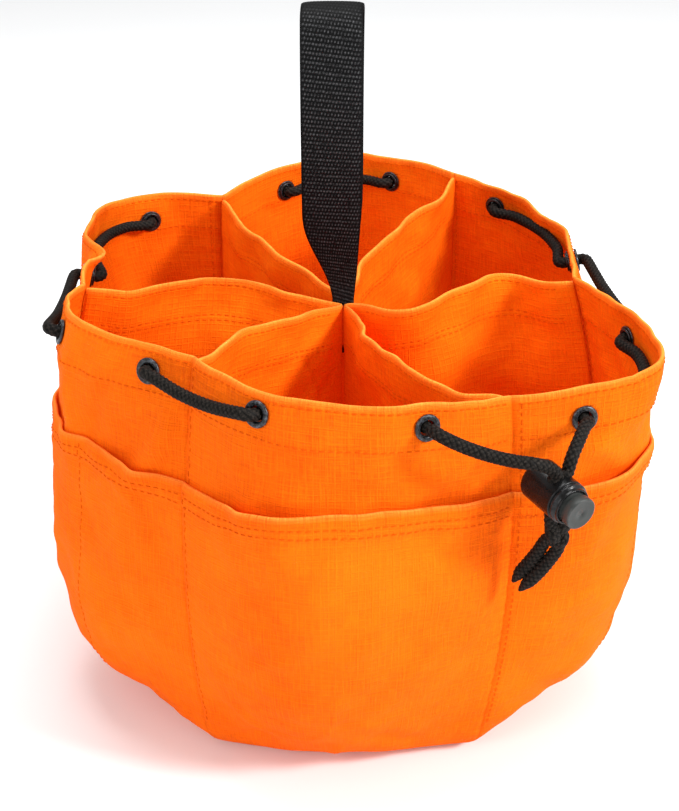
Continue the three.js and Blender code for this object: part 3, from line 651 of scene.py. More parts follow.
def cloth_relief(name, s, z, points, width):
    """How far the cloth of a wall stands out of its plain shape."""
    relief = 1.0 * broad(points) + 0.6 * medium(points) + 0.2 * fine(points)
    relief = relief + 0.9 * creases(points)
    for at, height, slope, length, half_width, depth in FOLDS[name]:
        u = (s - at) * width
        w = z - height
        angle = np.radians(slope)
        along = u * np.cos(angle) + w * np.sin(angle)
        across = -u * np.sin(angle) + w * np.cos(angle)
        relief = relief + 1.6 * depth * bell(along, 0, length) * bell(across, 0, half_width)
    apart = seam_distance(s, width)
    pucker = np.sin(2 * np.pi * z / 7.5 + 2 * np.sin(z / 11)) * np.exp(-apart / 5)
    relief = relief * smooth(apart, 0, 14) + 0.4 * pucker * smooth(apart, 0, 1.5)
    return relief * smooth(z, 2, 16)


def panel_width(panel):
    line = wall_point(panel, np.linspace(0, 1, 60), 120.0)
    return distances(line)[-1]


# How finely the cloth is divided, and how far a panel runs past its seams, so that no gap shows.
CLOTH_CELL = 1.9
SEAM_OVERLAP = 0.001
FOOT_STEPS = 8
WALL_ROWS = 78
HEM_ROWS = 10
LIP_HALF = HEM_HALF * 0.8


def across_the_panel(width):
    return np.linspace(-SEAM_OVERLAP, 1 + SEAM_OVERLAP, int(width / CLOTH_CELL))


def wall_rows(panel, s):
    """Heights of the rows of a wall at each s: round the foot, up the side, then the hem."""
    turn = np.radians(np.linspace(90, 0, FOOT_STEPS, endpoint=False))
    foot = CANVAS / 2 + FOOT_ROUND * (1 - np.sin(turn))
    low = FOOT_ROUND + CANVAS / 2
    top = rim_height(panel, s)
    side = np.linspace(0, 1, WALL_ROWS)[:, None]
    hem = np.linspace(0, 1, HEM_ROWS)[1:, None]
    sides = low + (top - RIM_HEM - low) * side
    hems = top - RIM_HEM + RIM_HEM * hem
    return np.vstack([np.repeat(foot[:, None], len(s), 1), sides, hems])


STITCH_PITCH = 3.3
STITCH = 2.3
THREAD_RADIUS = 0.3
THREAD_SUNK = 0.1
STITCH_SIDES = 6
# The rings of one stitch: share of its length, share of its radius, and lift in radii.
STITCH_RINGS = ((-0.5, 0.25, -0.3), (-0.42, 0.8, 0.0), (-0.15, 1.0, 0.25), (0.15, 1.0, 0.25),
                (0.42, 0.8, 0.0), (0.5, 0.25, -0.3))


def stitch_run(line, normals):
    """Returns the points and quads of a row of thread stitches laid along a line on the cloth."""
    run = distances(line)
    count = int((run[-1] - STITCH) / STITCH_PITCH)
    centres = (run[-1] - (count - 1) * STITCH_PITCH) / 2 + np.arange(count) * STITCH_PITCH

    def at(grid, where):
        return np.stack([np.interp(where, run, grid[:, k]) for k in range(3)], -1)

    middle = at(line, centres)
    direction = unit(at(line, centres + STITCH / 2) - at(line, centres - STITCH / 2))
    normal = unit(at(normals, centres))
    side = unit(np.cross(normal, direction))
    normal = np.cross(direction, side)
    angles = np.arange(STITCH_SIDES) * 2 * np.pi / STITCH_SIDES
    points = []
    for along, size, lift in STITCH_RINGS:
        for angle in angles:
            raised = size * np.sin(angle) + lift - THREAD_SUNK
            points.append(middle + direction * along * STITCH
                          + side * THREAD_RADIUS * size * np.cos(angle)
                          + normal * THREAD_RADIUS * raised)
    points = np.stack(points, 1)
    tube = grid_quads(len(STITCH_RINGS), STITCH_SIDES, wrap=True)
    last = (len(STITCH_RINGS) - 1) * STITCH_SIDES
    caps = np.array([[3, 2, 1, 0], [5, 4, 3, 0], [last, last + 1, last + 2, last + 3],
                     [last, last + 3, last + 4, last + 5]])
    one = np.vstack([tube, caps])
    quads = (one[None] + (np.arange(count) * points.shape[1])[:, None, None]).reshape(-1, 4)
    return points.reshape(-1, 3), quads


class Thread:
    """Collects stitches into one piece."""

    def __init__(self):
        self.points = []
        self.quads = []
        self.total = 0

    def sew(self, line, normals):
        points, quads = stitch_run(line, normals)
        self.points.append(points)
        self.quads.append(quads + self.total)
        self.total += len(points)

    def sew_through(self, outer, inner, normals):
        """A seam that shows on both skins."""
        self.sew(outer, normals)
        self.sew(inner, -normals)

    def finish(self, name, body):
        points = np.vstack(self.points)
        made = make_object(name, points, np.vstack(self.quads), THREAD_LOOK, points[:, :2] / 2)
        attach(made, body)


# Round an eyelet: the cloth lies flat inside FLAT_INNER and is free again past FLAT_OUTER.
FLAT_INNER = 7.0
FLAT_OUTER = 15.0
EYELET_NEAR = 12  # furthest out of the eyelet's plane that cloth is still moved
HOLE_CUT = 3.6
HOLE_EDGE = 4.1


def flatten_at_eyelets(panel, middle):
    """Lays the hem flat under each eyelet, and marks the cells that its hole removes."""
    rows, columns = middle.shape[:2]
    holes = np.zeros((rows, columns), bool)
    for s in panel["eyelets"]:
        centre, outward, along = eyelet_place(panel, s)
        up = np.cross(outward, along)
        away = middle - centre
        depth = away @ outward
        local = np.stack([away @ along, away @ up], -1)
        radius = np.linalg.norm(local, axis=-1)
        near = 1 - smooth(radius, FLAT_INNER, FLAT_OUTER)
        near = np.where(np.abs(depth) < EYELET_NEAR, near, 0)
        middle = middle - outward * (depth * near)[..., None]
        cell = (local[:-1, :-1] + local[1:, :-1] + local[:-1, 1:] + local[1:, 1:]) / 4
        close = np.abs(depth[:-1, :-1]) < EYELET_NEAR
        inside = (np.linalg.norm(cell, axis=-1) < HOLE_CUT) & close
        touched = np.zeros((rows, columns), int)
        for di in (0, 1):
            for dj in (0, 1):
                touched[di:rows - 1 + di, dj:columns - 1 + dj] += inside
        edge = (touched > 0) & (touched < 4)
        scale = np.where(edge, HOLE_EDGE / np.maximum(radius, 0.1), 1.0)
        pushed = local * (scale - 1)[..., None]
        middle = middle + pushed[..., :1] * along + pushed[..., 1:] * up
        holes[:-1, :-1] |= inside
    return middle, holes[:-1, :-1]


def seam_turn(panel, normal):
    """At a seam the cloth of both panels ends in the upright plane through the bag's middle."""
    turned = []
    for seam, column in zip(panel["seams"], (0, -1)):
        level = np.hypot(normal[:, column, 0], normal[:, column, 1])
        edge = seam_direction(seam)[None] * level[:, None]
        edge[:, 2] = normal[:, column, 2]
        turned.append(edge)
    return turned


def add_wall(name, panel, thread):
    width = panel_width(panel)
    s = across_the_panel(width)
    z = wall_rows(panel, s)
    share = np.broadcast_to(s, z.shape)
    middle = wall_point(panel, share, z)
    normal = surface_normals(middle)
    middle = middle + normal * cloth_relief(name, share, z, middle, width)[..., None]
    ripple = 0.9 * np.sin(s * width / 9 + 3 * s) * smooth(seam_distance(s, width), 0, 20)
    middle[-HEM_ROWS:, :, 2] += np.linspace(0, 1, HEM_ROWS)[:, None] * ripple * 0.5
    middle, holes = flatten_at_eyelets(panel, middle)
    rows = len(z)
    line = rows - HEM_ROWS
    away = np.arange(rows) - line
    half = np.where(away > 0, HEM_HALF, CANVAS / 2)
    half = np.where(away == 0, CANVAS / 2 - 0.1, half)
    half[-1] = LIP_HALF
    made, outer, inner, normal = cloth(f"wall_{name}_cloth", middle, half, CANVAS_LOOK, holes,
                                       seam_turn(panel, surface_normals(middle)))
    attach(made, "bag")
    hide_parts(f"wall_{name}")
    for row in (line + 1, -2):
        thread.sew_through(outer[row], inner[row], normal[row])
    for column in (1, -2):
        thread.sew(inner[12:, column], -normal[12:, column])
    thread.sew(outer[12:, 1], normal[12:, 1])


# Where the mouth of each outer pocket stands off: share along the panel, half width, depth.
GAPES = {
    "front": [(0.27, 0.18, 4.5), (0.6, 0.2, 1.5), (0.86, 0.08, 3.0)],
    "right_front": [(0.2, 0.12, 3.0), (0.74, 0.15, 2.0)],
    "right_back": [(0.26, 0.15, 4.0), (0.76, 0.14, 3.5)],
    "back": [(0.3, 0.18, 4.5), (0.7, 0.16, 3.5)],
    "left_back": [(0.25, 0.15, 3.5), (0.74, 0.15, 0.8)],
    "left_front": [(0.25, 0.15, 0.6), (0.76, 0.13, 2.2)],
}


# How much higher the pocket mouth rides in the middle of each panel.
MOUTH_RISE = {"front": 5.0, "right_front": 3.0, "left_front": 1.0}


POCKET_ROWS = 58
POCKET_HEM_ROWS = 7


def add_pocket(name, panel, thread):
    width = panel_width(panel)
    s = across_the_panel(width)
    turn = np.radians(np.linspace(62, 0, 6, endpoint=False))
    foot = CANVAS / 2 + FOOT_ROUND * (1 - np.sin(turn))
    side = np.linspace(FOOT_ROUND + CANVAS / 2, POCKET_TOP - POCKET_HEM, POCKET_ROWS)
    hem = np.linspace(POCKET_TOP - POCKET_HEM, POCKET_TOP, POCKET_HEM_ROWS)[1:]
    levels = np.concatenate([foot, side, hem])
    z = np.repeat(levels[:, None], len(s), 1)
    edge = 1.0 * np.sin(s * 7 + len(name)) * smooth(seam_distance(s, width), 0, 25)
    edge = edge + MOUTH_RISE.get(name, 2.0) * np.sin(np.pi * np.clip(s, 0, 1))
    lift = smooth(z, 60, POCKET_TOP)
    z = z + lift * edge
    share = np.broadcast_to(s, z.shape)
    base = wall_point(panel, share, z)
    normal = surface_normals(base)
    relief = cloth_relief(name, share, z, base, width)
    open_share = np.clip((z - POCKET_FOOT) / (POCKET_TOP - POCKET_FOOT), 0, 1.05) ** 3
    sewn = np.abs(np.sin(np.pi * np.clip(s, 0, 1) * panel["pockets"])) ** 0.6
    mouth = sum(depth * bell(s, at, half) for at, half, depth in GAPES[name]) * sewn
    slack = 0.5 * smooth(z, 20, 60) * sewn
    rows = len(levels)
    hem_at = rows - POCKET_HEM_ROWS
    away = np.arange(rows) - hem_at
    half = np.where(away > 0, HEM_HALF, CANVAS / 2)
    half[-1] = LIP_HALF
    off = CANVAS / 2 + 0.2 + half[:, None] + slack + open_share * mouth
    middle = base + normal * (relief + off)[..., None]
    made, outer, _, normal = cloth(f"pocket_{name}_cloth", middle, half, CANVAS_LOOK, None,
                                   seam_turn(panel, surface_normals(middle)))
    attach(made, "bag")
    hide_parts(f"pocket_{name}")
    for row in (hem_at + 1, hem_at + 3):
        thread.sew(outer[row], normal[row])
    columns = [1]
    if panel["pockets"] == 2:
        columns += [len(s) // 2]
    for column in columns:
        thread.sew(outer[8:, column], normal[8:, column])


BASE_STEPS = 24
BASE_RINGS = 40
BASE_EASE = 0.5


def add_base():
    ring = []
    for panel in PANELS.values():
        s = np.linspace(0, 1, BASE_STEPS, endpoint=False)
        ring.append(wall_point(panel, s, np.full(BASE_STEPS, CANVAS / 2)))
    eased = 1 - BASE_EASE / FOOT_APOTHEM
    ring = np.vstack(ring) * [eased, eased, 1]
    scales = np.linspace(0.02, 1, BASE_RINGS)
    flat = ring[None] * scales[:, None, None]
    flat[..., 2] = CANVAS / 2
    rise = 0.25 * (medium(flat) + 1.2) * smooth(scales, 1.0, 0.9)[:, None]
    top = flat.copy()
    top[..., 2] = CANVAS + np.clip(rise, 0, 1)
    under = flat.copy()
    under[..., 2] = np.clip(rise * 0.5, 0, 0.6)
    points = np.vstack([under.reshape(-1, 3), top.reshape(-1, 3)])
    rows, columns = flat.shape[:2]
    lower = grid_quads(rows, columns, wrap=True)
    upper = lower[:, ::-1] + rows * columns
    j = np.arange(columns)
    right = (j + 1) % columns
    outer = (rows - 1) * columns
    shift = rows * columns
    rim = np.stack([outer + j, outer + right, outer + right + shift, outer + j + shift], 1)
    bore = np.stack([right, j, j + shift, right + shift], 1)
    made = make_object("base_cloth", points, np.vstack([lower[:, ::-1], upper[:, ::-1], rim, bore]),
                       CANVAS_LOOK, points[:, :2] / 10)
    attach(made, "bag")
    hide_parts("base_panel")


# ---------------------------------------------------------------- dividers
def arm_points(apex, arm, u, z, lift):
    seam, bow, sway = arm
    reach = up_the_bag(SEAMS[seam][1:4], z / SEAMS[seam][4]) * foot_share(z - CANVAS)
    reach = reach - HEM_HALF - GAP
    direction = seam_direction(seam)
    sideways = np.array([-direction[1], direction[0], 0.0])
    arc = np.sin(np.pi * u)
    swing = (bow * arc * arc + sway * arc * np.sin(2 * np.pi * u)) * lift
    start = np.array([apex[0], apex[1], 0.0])
    point = start + (direction * reach[..., None] - start) * u[..., None]
    point = point + sideways * swing[..., None]
    point[..., 2] = z
    return point


def arm_top(arm, u):
    at_wall = SEAMS[arm[0]][4] - DIVIDER_DROP + 5 * smooth(u, 0.8, 1.0)
    return CENTRE_TOP + (at_wall - CENTRE_TOP) * u + DIVIDER_CROWN * np.sin(np.pi * u)


DIVIDER_ROWS = 62
ARM_COLUMNS = 58
FOLD_REACH = 4  # columns on each side of the fold that are rounded and left without stitches


def add_divider(name, apex, arms, thread):
    floor = CANVAS + 1.2
    side = np.linspace(0, 1, DIVIDER_ROWS)
    hem = np.linspace(0, 1, HEM_ROWS)[1:]
    u = np.linspace(0, 1, ARM_COLUMNS)
    grids = []
    for arm in arms:
        top = arm_top(arm, u)
        z = np.vstack([floor + (top - DIVIDER_HEM - floor) * side[:, None],
                       top - DIVIDER_HEM + DIVIDER_HEM * hem[:, None]])
        share = np.broadcast_to(u, z.shape)
        lift = ((z - floor) / (top - floor)) ** 2
        grid = arm_points(apex, arm, share, z, lift)
        free = smooth(share, 0.02, 0.2) * (1 - smooth(share, 0.86, 1.0)) * smooth(z, 4, 40)
        normal = surface_normals(grid)
        crease = 1.5 * broad(grid) + 0.9 * medium(grid) + 0.25 * fine(grid) + 1.1 * creases(grid)
        grids.append(grid + normal * (crease * free)[..., None])
    middle = np.concatenate([grids[0][:, ::-1], grids[1][:, 1:]], 1)
    first = ARM_COLUMNS - FOLD_REACH
    last = ARM_COLUMNS + FOLD_REACH
    for _ in range(3):
        beside = middle[:, first - 1:last - 1], middle[:, first + 1:last + 1]
        middle[:, first:last] = (beside[0] + 2 * middle[:, first:last] + beside[1]) / 4
    rows = middle.shape[0]
    line = rows - HEM_ROWS
    half = np.where(np.arange(rows) > line, HEM_HALF, CANVAS / 2)
    half[-1] = LIP_HALF
    made, outer, inner, normal = cloth(f"{name}_cloth", middle, half, LIGHTENED_INNER_LOOK)
    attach(made, "bag")
    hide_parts(name)
    for part in (slice(3, first), slice(last, -3)):
        for row in (line + 1, line + 2, rows - 2):
            thread.sew_through(outer[row, part], inner[row, part], normal[row, part])


# ---------------------------------------------------------------- handle
def webbing_line():
    """The strap's middle in the YZ plane: up from between the dividers, over and down again."""
    def height(share):
        return HANDLE_ROOT + (HANDLE_TOP - WEBBING / 2 - HANDLE_ROOT) * share

    half = (HANDLE_DEPTH - WEBBING) / 2
    ply = (WEBBING + GAP) / 2
    front = [(-ply, HANDLE_ROOT - HANDLE_TAIL), (-ply, HANDLE_ROOT - 8), (-ply, height(0)),
             (-ply, height(0.06)), (-half * 0.5, height(0.28)), (-half * 0.93, height(0.55)),
             (-half, height(0.78)), (-half * 0.62, height(0.95))]
    back = [(-y, z) for y, z in front[::-1]]
    return spline([(0, y, z) for y, z in front + [(0, height(1))] + back], 0.45)


WEBBING_CELLS = 56
RIB = 1.8  # spacing of the weave's ribs along the strap
PICK = 1.35  # spacing of the picks across it


def add_handle():
    line = webbing_line()
    run = distances(line)
    total = run[-1]
    risen = np.clip((line[:, 2] - HANDLE_ROOT) / (HANDLE_TOP - HANDLE_ROOT), 0, 1)
    width = ROOT_WIDTH + (WEBBING_WIDTH - ROOT_WIDTH) * smooth(risen, -0.06, 0.34)
    back_half = smooth(run / total, 0.47, 0.53)
    shift = -HANDLE_LEAN * smooth(risen, 0, 0.3) + 0.9 * back_half * smooth(risen, 0.02, 0.5)
    twist = 0.12 * np.sin(2 * np.pi * run / total) * smooth(risen, 0, 0.4)
    tangent = unit(np.gradient(line, axis=0))
    across = np.stack([np.cos(twist), np.sin(twist), 0 * twist], 1)
    across = unit(across - tangent * (across * tangent).sum(1)[:, None])
    normal = np.cross(tangent, across)
    side = np.linspace(-1, 1, WEBBING_CELLS + 1)
    u = side * WEBBING_WIDTH / 2
    rows = run[:, None]
    columns = u[None, :]
    # Two plies of ribbed weave: each rib is a row of raised picks, the next row set half over.
    slanted = rows + columns * 0.12
    row_number = np.floor(slanted / RIB)
    along = np.abs(np.sin(np.pi * slanted / RIB))
    beside = np.abs(np.sin(np.pi * (columns / PICK + 0.5 * (row_number % 2))))
    selvedge = smooth(np.abs(side), 0.94, 0.99)[None, :]
    dots = (along ** 0.7 * beside ** 0.7) * (1 - selvedge) + selvedge * 0.25
    plain = smooth(np.abs(run / total - 0.5), 0.012, 0.03)[:, None]
    height = 0.2 * (dots - 0.5) * (0.4 + 0.6 * plain)
    # Painted highlight: the raised picks are marked in the crest attribute to be painted paler.
    crest = smooth(dots, 0.6, 1.0) * (0.15 + 0.85 * plain)
    thin = np.sqrt(np.clip(1 - np.abs(side) ** 8, 0.05, 1))[None, :] * WEBBING / 2
    cup = 0.35 * (side ** 2)[None, :] * smooth(risen, 0.1, 0.5)[:, None]
    middle = (line[:, None, :] + np.array([1.0, 0, 0]) * shift[:, None, None]
              + across[:, None, :] * (side[None, :] * width[:, None] / 2)[..., None]
              + normal[:, None, :] * cup[..., None])
    face = middle + normal[:, None, :] * (thin + height)[..., None]
    rear = middle - normal[:, None, :] * (thin + height)[..., None]
    ring = np.concatenate([face, rear[:, ::-1]], 1)
    crests = np.concatenate([crest, crest[:, ::-1]], 1)
    count, loop = ring.shape[:2]
    quads = grid_quads(count, loop, wrap=True)
    j = np.arange(WEBBING_CELLS)
    ends = np.stack([j, j + 1, loop - 2 - j, loop - 1 - j], 1)
    far = (count - 1) * loop
    points = ring.reshape(-1, 3)
    uv = np.stack([np.broadcast_to(np.concatenate([u, u[::-1]]), (count, loop)),
                   np.broadcast_to(rows, (count, loop))], -1).reshape(-1, 2) / 10
    made = make_object("handle_webbing", points,
                       np.vstack([quads[:, ::-1], ends, (ends + far)[:, ::-1]]),
                       WEBBING_LOOK, uv, crests.ravel())
    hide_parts("handle_loop", "handle_tail")
    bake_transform(made)


# ---------------------------------------------------------------- cords
PLAIT = 2.3  # length of one plait along the cord
PLAITS_AROUND = 6


def braided(name, path, diameter, around=40, radius_at=None, material=BRAID_LOOK):
    """A braided tube with round ends along an evenly spaced path."""
    run = distances(path)
    sides, ups = frames_along(path)
    angle = 2 * np.pi * np.arange(around) / around
    k = 2 * np.pi / (PLAITS_AROUND * PLAIT)
    first = PLAITS_AROUND * (angle[None, :] + k * run[:, None]) / (2 * np.pi)
    second = PLAITS_AROUND * (angle[None, :] - k * run[:, None]) / (2 * np.pi)
    a = first - np.floor(first)
    b = second - np.floor(second)
    over = (np.floor(first) + np.floor(second)) % 2 == 0
    width_a = 1 - (2 * b - 1) ** 2
    width_b = 1 - (2 * a - 1) ** 2
    strand = np.where(over, width_a ** 0.5 * (0.55 + 0.45 * width_b),
                      width_b ** 0.5 * (0.55 + 0.45 * width_a))
    ends = np.minimum(run, run[-1] - run)
    dome = np.sqrt(np.clip(1 - (1 - np.clip(ends / (diameter / 2), 0, 1)) ** 2, 0.02, 1))
    taper = np.ones(len(run)) if radius_at is None else radius_at(run / run[-1])
    radius = diameter / 2 * (0.86 + 0.24 * (strand - 0.35)) * (dome * taper)[:, None]
    points = (path[:, None, :] + sides[:, None, :] * (radius * np.cos(angle))[..., None]
              + ups[:, None, :] * (radius * np.sin(angle))[..., None])
    count = len(run)
    quads = grid_quads(count, around, wrap=True)
    caps = []
    for offset, flip in ((0, True), ((count - 1) * around, False)):
        for j in range(around // 2 - 1):
            cap = [offset + j, offset + j + 1, offset + around - 2 - j, offset + around - 1 - j]
            caps.append(cap[::-1] if flip else cap)
    uv = np.stack([np.broadcast_to(angle, points.shape[:2]),
                   np.broadcast_to(run[:, None], points.shape[:2])], -1)
    # The crest attribute marks the tops of the strands for the painted highlight.
    made = make_object(name, points.reshape(-1, 3), np.vstack([quads, np.array(caps)]), material,
                       uv.reshape(-1, 2), smooth(strand, 0.35, 0.95).ravel())
    return made


def eyelet_bend(place, face, side):
    """A quarter bend on one face of the hem, in order away from the eyelet."""
    centre, outward, along = place
    turns = np.radians([0, 30, 60, 90])
    return [centre + outward * face * (EYELET_REACH + CORD_BEND * np.sin(turn))
            + along * side * CORD_BEND * (1 - np.cos(turn)) for turn in turns]


INSIDE_OFF = HEM_HALF + CORD / 2 + 1.8


def inside_stretch(panel):
    near, far = panel["eyelets"]
    found = []
    for share in (0.17, 0.3, 0.43, 0.57, 0.7, 0.83):
        s = near + (far - near) * share
        z = rim_height(panel, s) - panel["drop"]
        step = 0.004
        along = wall_point(panel, s + step, z) - wall_point(panel, s - step, z)
        facing = unit(np.cross(along, UP))
        found.append(wall_point(panel, s, z) - facing * INSIDE_OFF)
    return found


def threaded_points():
    """In at the first eyelet past the front right seam, round the bag, out at the last one."""
    points = []
    panels = list(PANELS.values())
    for index, panel in enumerate(panels):
        near, far = (eyelet_place(panel, s) for s in panel["eyelets"])
        arriving = eyelet_bend(near, 1, -1)[::-1]
        leaving = eyelet_bend(far, 1, 1)
        points += arriving[-1:] if index == 0 else arriving
        points += eyelet_bend(near, -1, 1) + inside_stretch(panel)
        points += eyelet_bend(far, -1, -1)[::-1]
        if index == len(panels) - 1:
            points.append(leaving[0])
            break
        following = panels[index + 1]
        arrives = eyelet_bend(eyelet_place(following, following["eyelets"][0]), 1, -1)[-1]
        sag = np.array([0, 0, -2.5])
        between = [leaving[-1] + (arrives - leaving[-1]) * share + sag for share in (0.33, 0.67)]
        points += leaving + between
    return points


LOCK_SIDE = np.array([np.cos(LOCK_ANGLE), np.sin(LOCK_ANGLE), 0.0])
LOCK_AXIS = np.array([np.sin(LOCK_ANGLE) * np.cos(LOCK_TILT),
                      -np.cos(LOCK_ANGLE) * np.cos(LOCK_TILT), -np.sin(LOCK_TILT)])
LOCK_BACK = LOCK_CENTRE - LOCK_AXIS * CORDS_AT
LOCK_TOP = LOCK_CENTRE[2] + LOCK_DIAMETER / 2 + 1.5


def strand_top(sideways):
    top = LOCK_CENTRE + LOCK_SIDE * sideways * CORD_PITCH / 2
    top[2] = LOCK_TOP
    return top


def leg_path(panel, s, hand):
    centre, outward, _ = eyelet_place(panel, s)
    out = [centre + outward * (EYELET_REACH + GAP + extra) for extra in (0, 2.2)]
    return spline(out + hand, 0.4)


def add_legs():
    wanted = (("left", "front", 1, LEG_LEFT, 0.062), ("right", "right_front", 0, LEG_RIGHT, 0.032))
    for side, panel, eyelet, hand, length in wanted:
        path = leg_path(PANELS[panel], PANELS[panel]["eyelets"][eyelet], hand)
        leg = braided(f"cord_leg_{side}_braid", path, CORD)
        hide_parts(f"cord_leg_{side}")
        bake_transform(leg)


def melted(share):
    """The tails narrow to melted tips."""
    return 1 + 0.14 * bell(share, 0.8, 0.14) - 0.6 * smooth(share, 0.88, 1.0)


def add_tails(knot):
    for side, hand, sideways in (("left", TAIL_LEFT, -1), ("right", TAIL_RIGHT, 1)):
        top = strand_top(sideways)
        low = top.copy()
        low[2] = KNOT_CENTRE[2] + KNOT / 2
        middle = KNOT_CENTRE + LOCK_SIDE * sideways * 1.6
        path = spline([top, (top + low) / 2, low, middle] + hand, 0.4)
        tail = braided(f"cord_tail_{side}_braid", path, CORD, radius_at=melted)
        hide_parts(f"cord_tail_{side}", f"cord_through_lock_{side}")
        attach(tail, "pull_cord")


def add_knot():
    """Both strands tied in one tight overhand knot."""
    t = np.linspace(0, 2 * np.pi, 140)
    loop = np.stack([np.sin(t) + 2 * np.sin(2 * t), 0.9 * np.sin(3 * t),
                     np.cos(t) - 2 * np.cos(2 * t)], 1) * 1.42
    turn = LOCK_ANGLE
    rotation = np.array([[np.cos(turn), -np.sin(turn), 0], [np.sin(turn), np.cos(turn), 0], [0, 0, 1]])
    path = spline(loop @ rotation.T + KNOT_CENTRE, 0.4)
    knot = braided("cord_knot_braid", path, CORD * 0.92)
    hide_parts("cord_knot")
    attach(knot, "pull_cord")
    return knot


def add_threaded():
    path = spline(threaded_points(), 0.55)
    made = braided("drawcord_braid", path, CORD, around=32)
    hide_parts("drawcord_threaded")
    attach(made, "bag")


# ---------------------------------------------------------------- turned pieces
def turned(name, profile, origin, axis, material, crest, sides):
    """A closed ring or solid turned round an axis from a profile of radius and height."""
    axis = unit(axis)
    one = unit(np.cross(axis, [0.2, 0.3, 1.0]))
    two = np.cross(axis, one)
    angle = 2 * np.pi * np.arange(sides) / sides
    round_axis = np.cos(angle)[:, None] * one + np.sin(angle)[:, None] * two
    profile = np.asarray(profile, float)
    points = (np.asarray(origin) + profile[:, 0][:, None, None] * round_axis[None]
              + profile[:, 1][:, None, None] * axis)
    quads = grid_quads(len(profile), sides, wrap=True)
    j = np.arange(sides)
    right = (j + 1) % sides
    last = (len(profile) - 1) * sides
    closing = np.stack([last + j, last + right, right, j], 1)
    crests = np.repeat(np.asarray(crest, float)[:, None], sides, 1)
    uv = np.stack([np.broadcast_to(angle, crests.shape),
                   np.broadcast_to(profile[:, 1][:, None], crests.shape)], -1)
    return make_object(name, points.reshape(-1, 3), np.vstack([quads, closing]), material,
                       uv.reshape(-1, 2), crests.ravel())


def arc(centre, radius, start, end, steps=8):
    angles = np.radians(np.linspace(start, end, steps))
    return [(centre[0] + radius * np.cos(a), centre[1] + radius * np.sin(a)) for a in angles]


EYELET_SIDES = 48
LOCK_SIDES = 96


def add_eyelets():
    bore = EYELET_HOLE / 2
    rim = EYELET_RIM / 2
    for name, panel in PANELS.items():
        for index, s in enumerate(panel["eyelets"], 1):
            centre, outward, _ = eyelet_place(panel, s)
            crown = FLANGE_OFF + EYELET_SHEET + 0.25
            back = -(FLANGE_OFF + 2 * EYELET_SHEET + GAP)
            front = ([(rim - 0.1, FLANGE_OFF)]
                     + arc((rim - 0.75, FLANGE_OFF + 0.35), 0.75, -20, 90, 6)
                     + arc((bore + 0.9, crown - 0.75), 0.9, 90, 180, 8))
            rear = [(bore, back + 0.9)] + arc((bore + 0.9, back + 0.85), 0.85, 180, 290, 7)
            under = [(bore + 1.6, back + 0.5), (bore + 0.6, back + 0.9), (bore + 0.6, FLANGE_OFF)]
            profile = front + rear + under
            crest = [0.1] + [0.9] * 6 + [0.7, 0.6, 0.5, 0.3, 0.2, 0.1, 0.05, 0.0] + [0.0]
            crest += [0.4, 0.6, 0.8, 0.8, 0.6, 0.4, 0.2] + [0.0] * 3
            ring = turned(f"eyelet_{name}_{index}_ring", profile[::-1], centre, outward,
                          ENAMEL_LOOK, crest[::-1], EYELET_SIDES)
            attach(ring, "bag")
            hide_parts(f"eyelet_{name}_{index}")
            face = -FLANGE_OFF
            outer = rim - 0.1
            plate = ([(bore + 0.9, face), (outer - 0.2, face)]
                     + arc((outer - 0.35, face - 0.35), 0.35, 60, -70, 5)
                     + [(bore + 1.4, face - EYELET_SHEET), (bore + 0.9, face - EYELET_SHEET)])
            wear = [0.0, 0.3, 0.7, 0.9, 0.9, 0.9, 0.7, 0.3, 0.0]
            washer = turned(f"washer_{name}_{index}_ring", plate, centre, outward,
                            ENAMEL_LOOK, wear, EYELET_SIDES)
            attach(washer, "bag")
            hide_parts(f"washer_{name}_{index}")


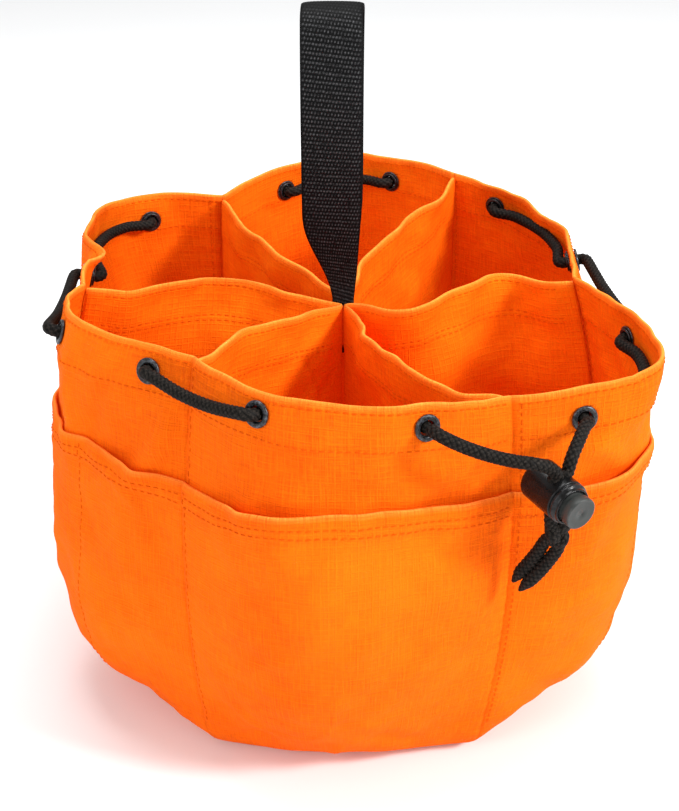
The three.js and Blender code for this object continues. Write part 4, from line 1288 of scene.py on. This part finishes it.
def add_lock():
    outer = LOCK_DIAMETER / 2
    shoulder = LOCK_LENGTH - LOCK_COLLAR
    bore = outer - 1.6
    barrel = ([(0.05, 0.35)] + arc((outer - 2.2, 2.2), 2.2, -90, 0, 8)
              + [(outer, 4), (outer, shoulder - 0.8)] + arc((outer - 0.5, shoulder - 0.5), 0.5, 0, 80, 4)
              + [(outer - 0.9, shoulder), (outer - 0.95, shoulder + 0.5)]
              + arc((outer - 0.9, shoulder + 1.4), 0.85, -60, 60, 6)
              + [(outer - 1.0, shoulder + 2.4), (outer - 1.0, LOCK_LENGTH - 0.5)]
              + arc((outer - 1.3, LOCK_LENGTH - 0.3), 0.3, 0, 90, 4)
              + [(bore, LOCK_LENGTH), (bore, 1.9), (0.05, 1.9)])
    # Painted highlights on the shoulder, the collar bead and the top rim of the barrel, through the crest
    # attribute.
    crest = np.zeros(len(barrel))
    crest[12:16] = 0.5
    crest[18:24] = 1.0
    crest[26:30] = 0.6
    body = turned("lock_barrel_shell", barrel, LOCK_BACK, LOCK_AXIS, BARREL_LOOK, crest, LOCK_SIDES)
    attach(body, "cord_lock")
    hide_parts("lock_barrel")
    face = LOCK_LENGTH + BUTTON_PROUD
    width = bore - 0.35
    stem = width - 0.9
    button = ([(0.05, 8.7), (width - 0.6, 8.7), (width, 9.3), (width, LOCK_LENGTH - 1.0),
               (stem, LOCK_LENGTH - 0.4), (stem, LOCK_LENGTH + 1.0), (width, LOCK_LENGTH + 1.6)]
              + arc((width - 0.6, face - 0.6), 0.6, 0, 90, 6)
              + [(width - 1.2, face - 0.12), (width * 0.5, face - 0.12), (0.05, face - 0.12)])
    # Painted highlight round the edge of the button's face.
    crest = np.zeros(len(button))
    crest[8:13] = 0.8
    cap = turned("lock_button_cap", button, LOCK_BACK, LOCK_AXIS, BUTTON_LOOK, crest, LOCK_SIDES)
    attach(cap, "button")
    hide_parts("lock_button")
    turns = 3.5
    t = np.linspace(0, 1, 60)
    one = unit(np.cross(LOCK_AXIS, UP))
    two = np.cross(LOCK_AXIS, one)
    coil = (LOCK_BACK + LOCK_AXIS * (2.6 + 5.4 * t)[:, None]
            + 4.8 * np.cos(2 * np.pi * turns * t)[:, None] * one
            + 4.8 * np.sin(2 * np.pi * turns * t)[:, None] * two)
    spring = braided("lock_spring_wire", spline(coil, 0.5), 0.7, around=12, material=WIRE_LOOK)
    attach(spring, "cord_lock")
    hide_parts("lock_spring")
    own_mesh(spring)


# ---------------------------------------------------------------- light and floor
def add_light(name, place, size, power):
    data = bpy.data.lights.new(name, "AREA")
    data.shape = "RECTANGLE"
    data.size, data.size_y = size
    data.energy = power
    light = bpy.data.objects.new(name, data)
    light.location = place
    aim = Vector((0, 0, 0.12)) - Vector(place)
    light.rotation_euler = aim.to_track_quat("-Z", "Y").to_euler()
    bpy.context.scene.collection.objects.link(light)


def add_studio():
    scene = bpy.context.scene
    scene.view_settings.view_transform = "Standard"
    world = bpy.data.worlds.new("studio")
    world.use_nodes = True
    background = world.node_tree.nodes["Background"]
    background.inputs["Color"].default_value = (1, 1, 1, 1)
    background.inputs["Strength"].default_value = 0.68
    scene.world = world
    add_light("key", (1.4, -0.7, 1.1), (0.35, 0.35), 34)
    add_light("fill", (-1.2, -1.2, 0.9), (0.8, 0.8), 9)
    add_light("top", (-0.1, 0.2, 1.6), (0.8, 0.8), 16)
    size = 6.0
    mesh = bpy.data.meshes.new("floor")
    corners = [(-size, -size, 0), (size, -size, 0), (size, size, 0), (-size, size, 0)]
    mesh.from_pydata(corners, [], [(0, 1, 2, 3)])
    mesh.materials.append(floor_look())
    floor = bpy.data.objects.new("floor", mesh)
    scene.collection.objects.link(floor)


# ---------------------------------------------------------------- the whole pouch
add_camera()
add_studio()
add_threaded()
add_legs()
add_tails(add_knot())
wall_thread = Thread()
pocket_thread = Thread()
divider_thread = Thread()
for panel_name, panel_facts in PANELS.items():
    add_wall(panel_name, panel_facts, wall_thread)
    add_pocket(panel_name, panel_facts, pocket_thread)
for divider_name, divider_facts in DIVIDERS.items():
    add_divider(divider_name, divider_facts["apex"], divider_facts["arms"], divider_thread)
wall_thread.finish("wall_stitching", "bag")
pocket_thread.finish("pocket_stitching", "bag")
divider_thread.finish("divider_stitching", "bag")
add_base()
add_handle()
add_eyelets()
add_lock()
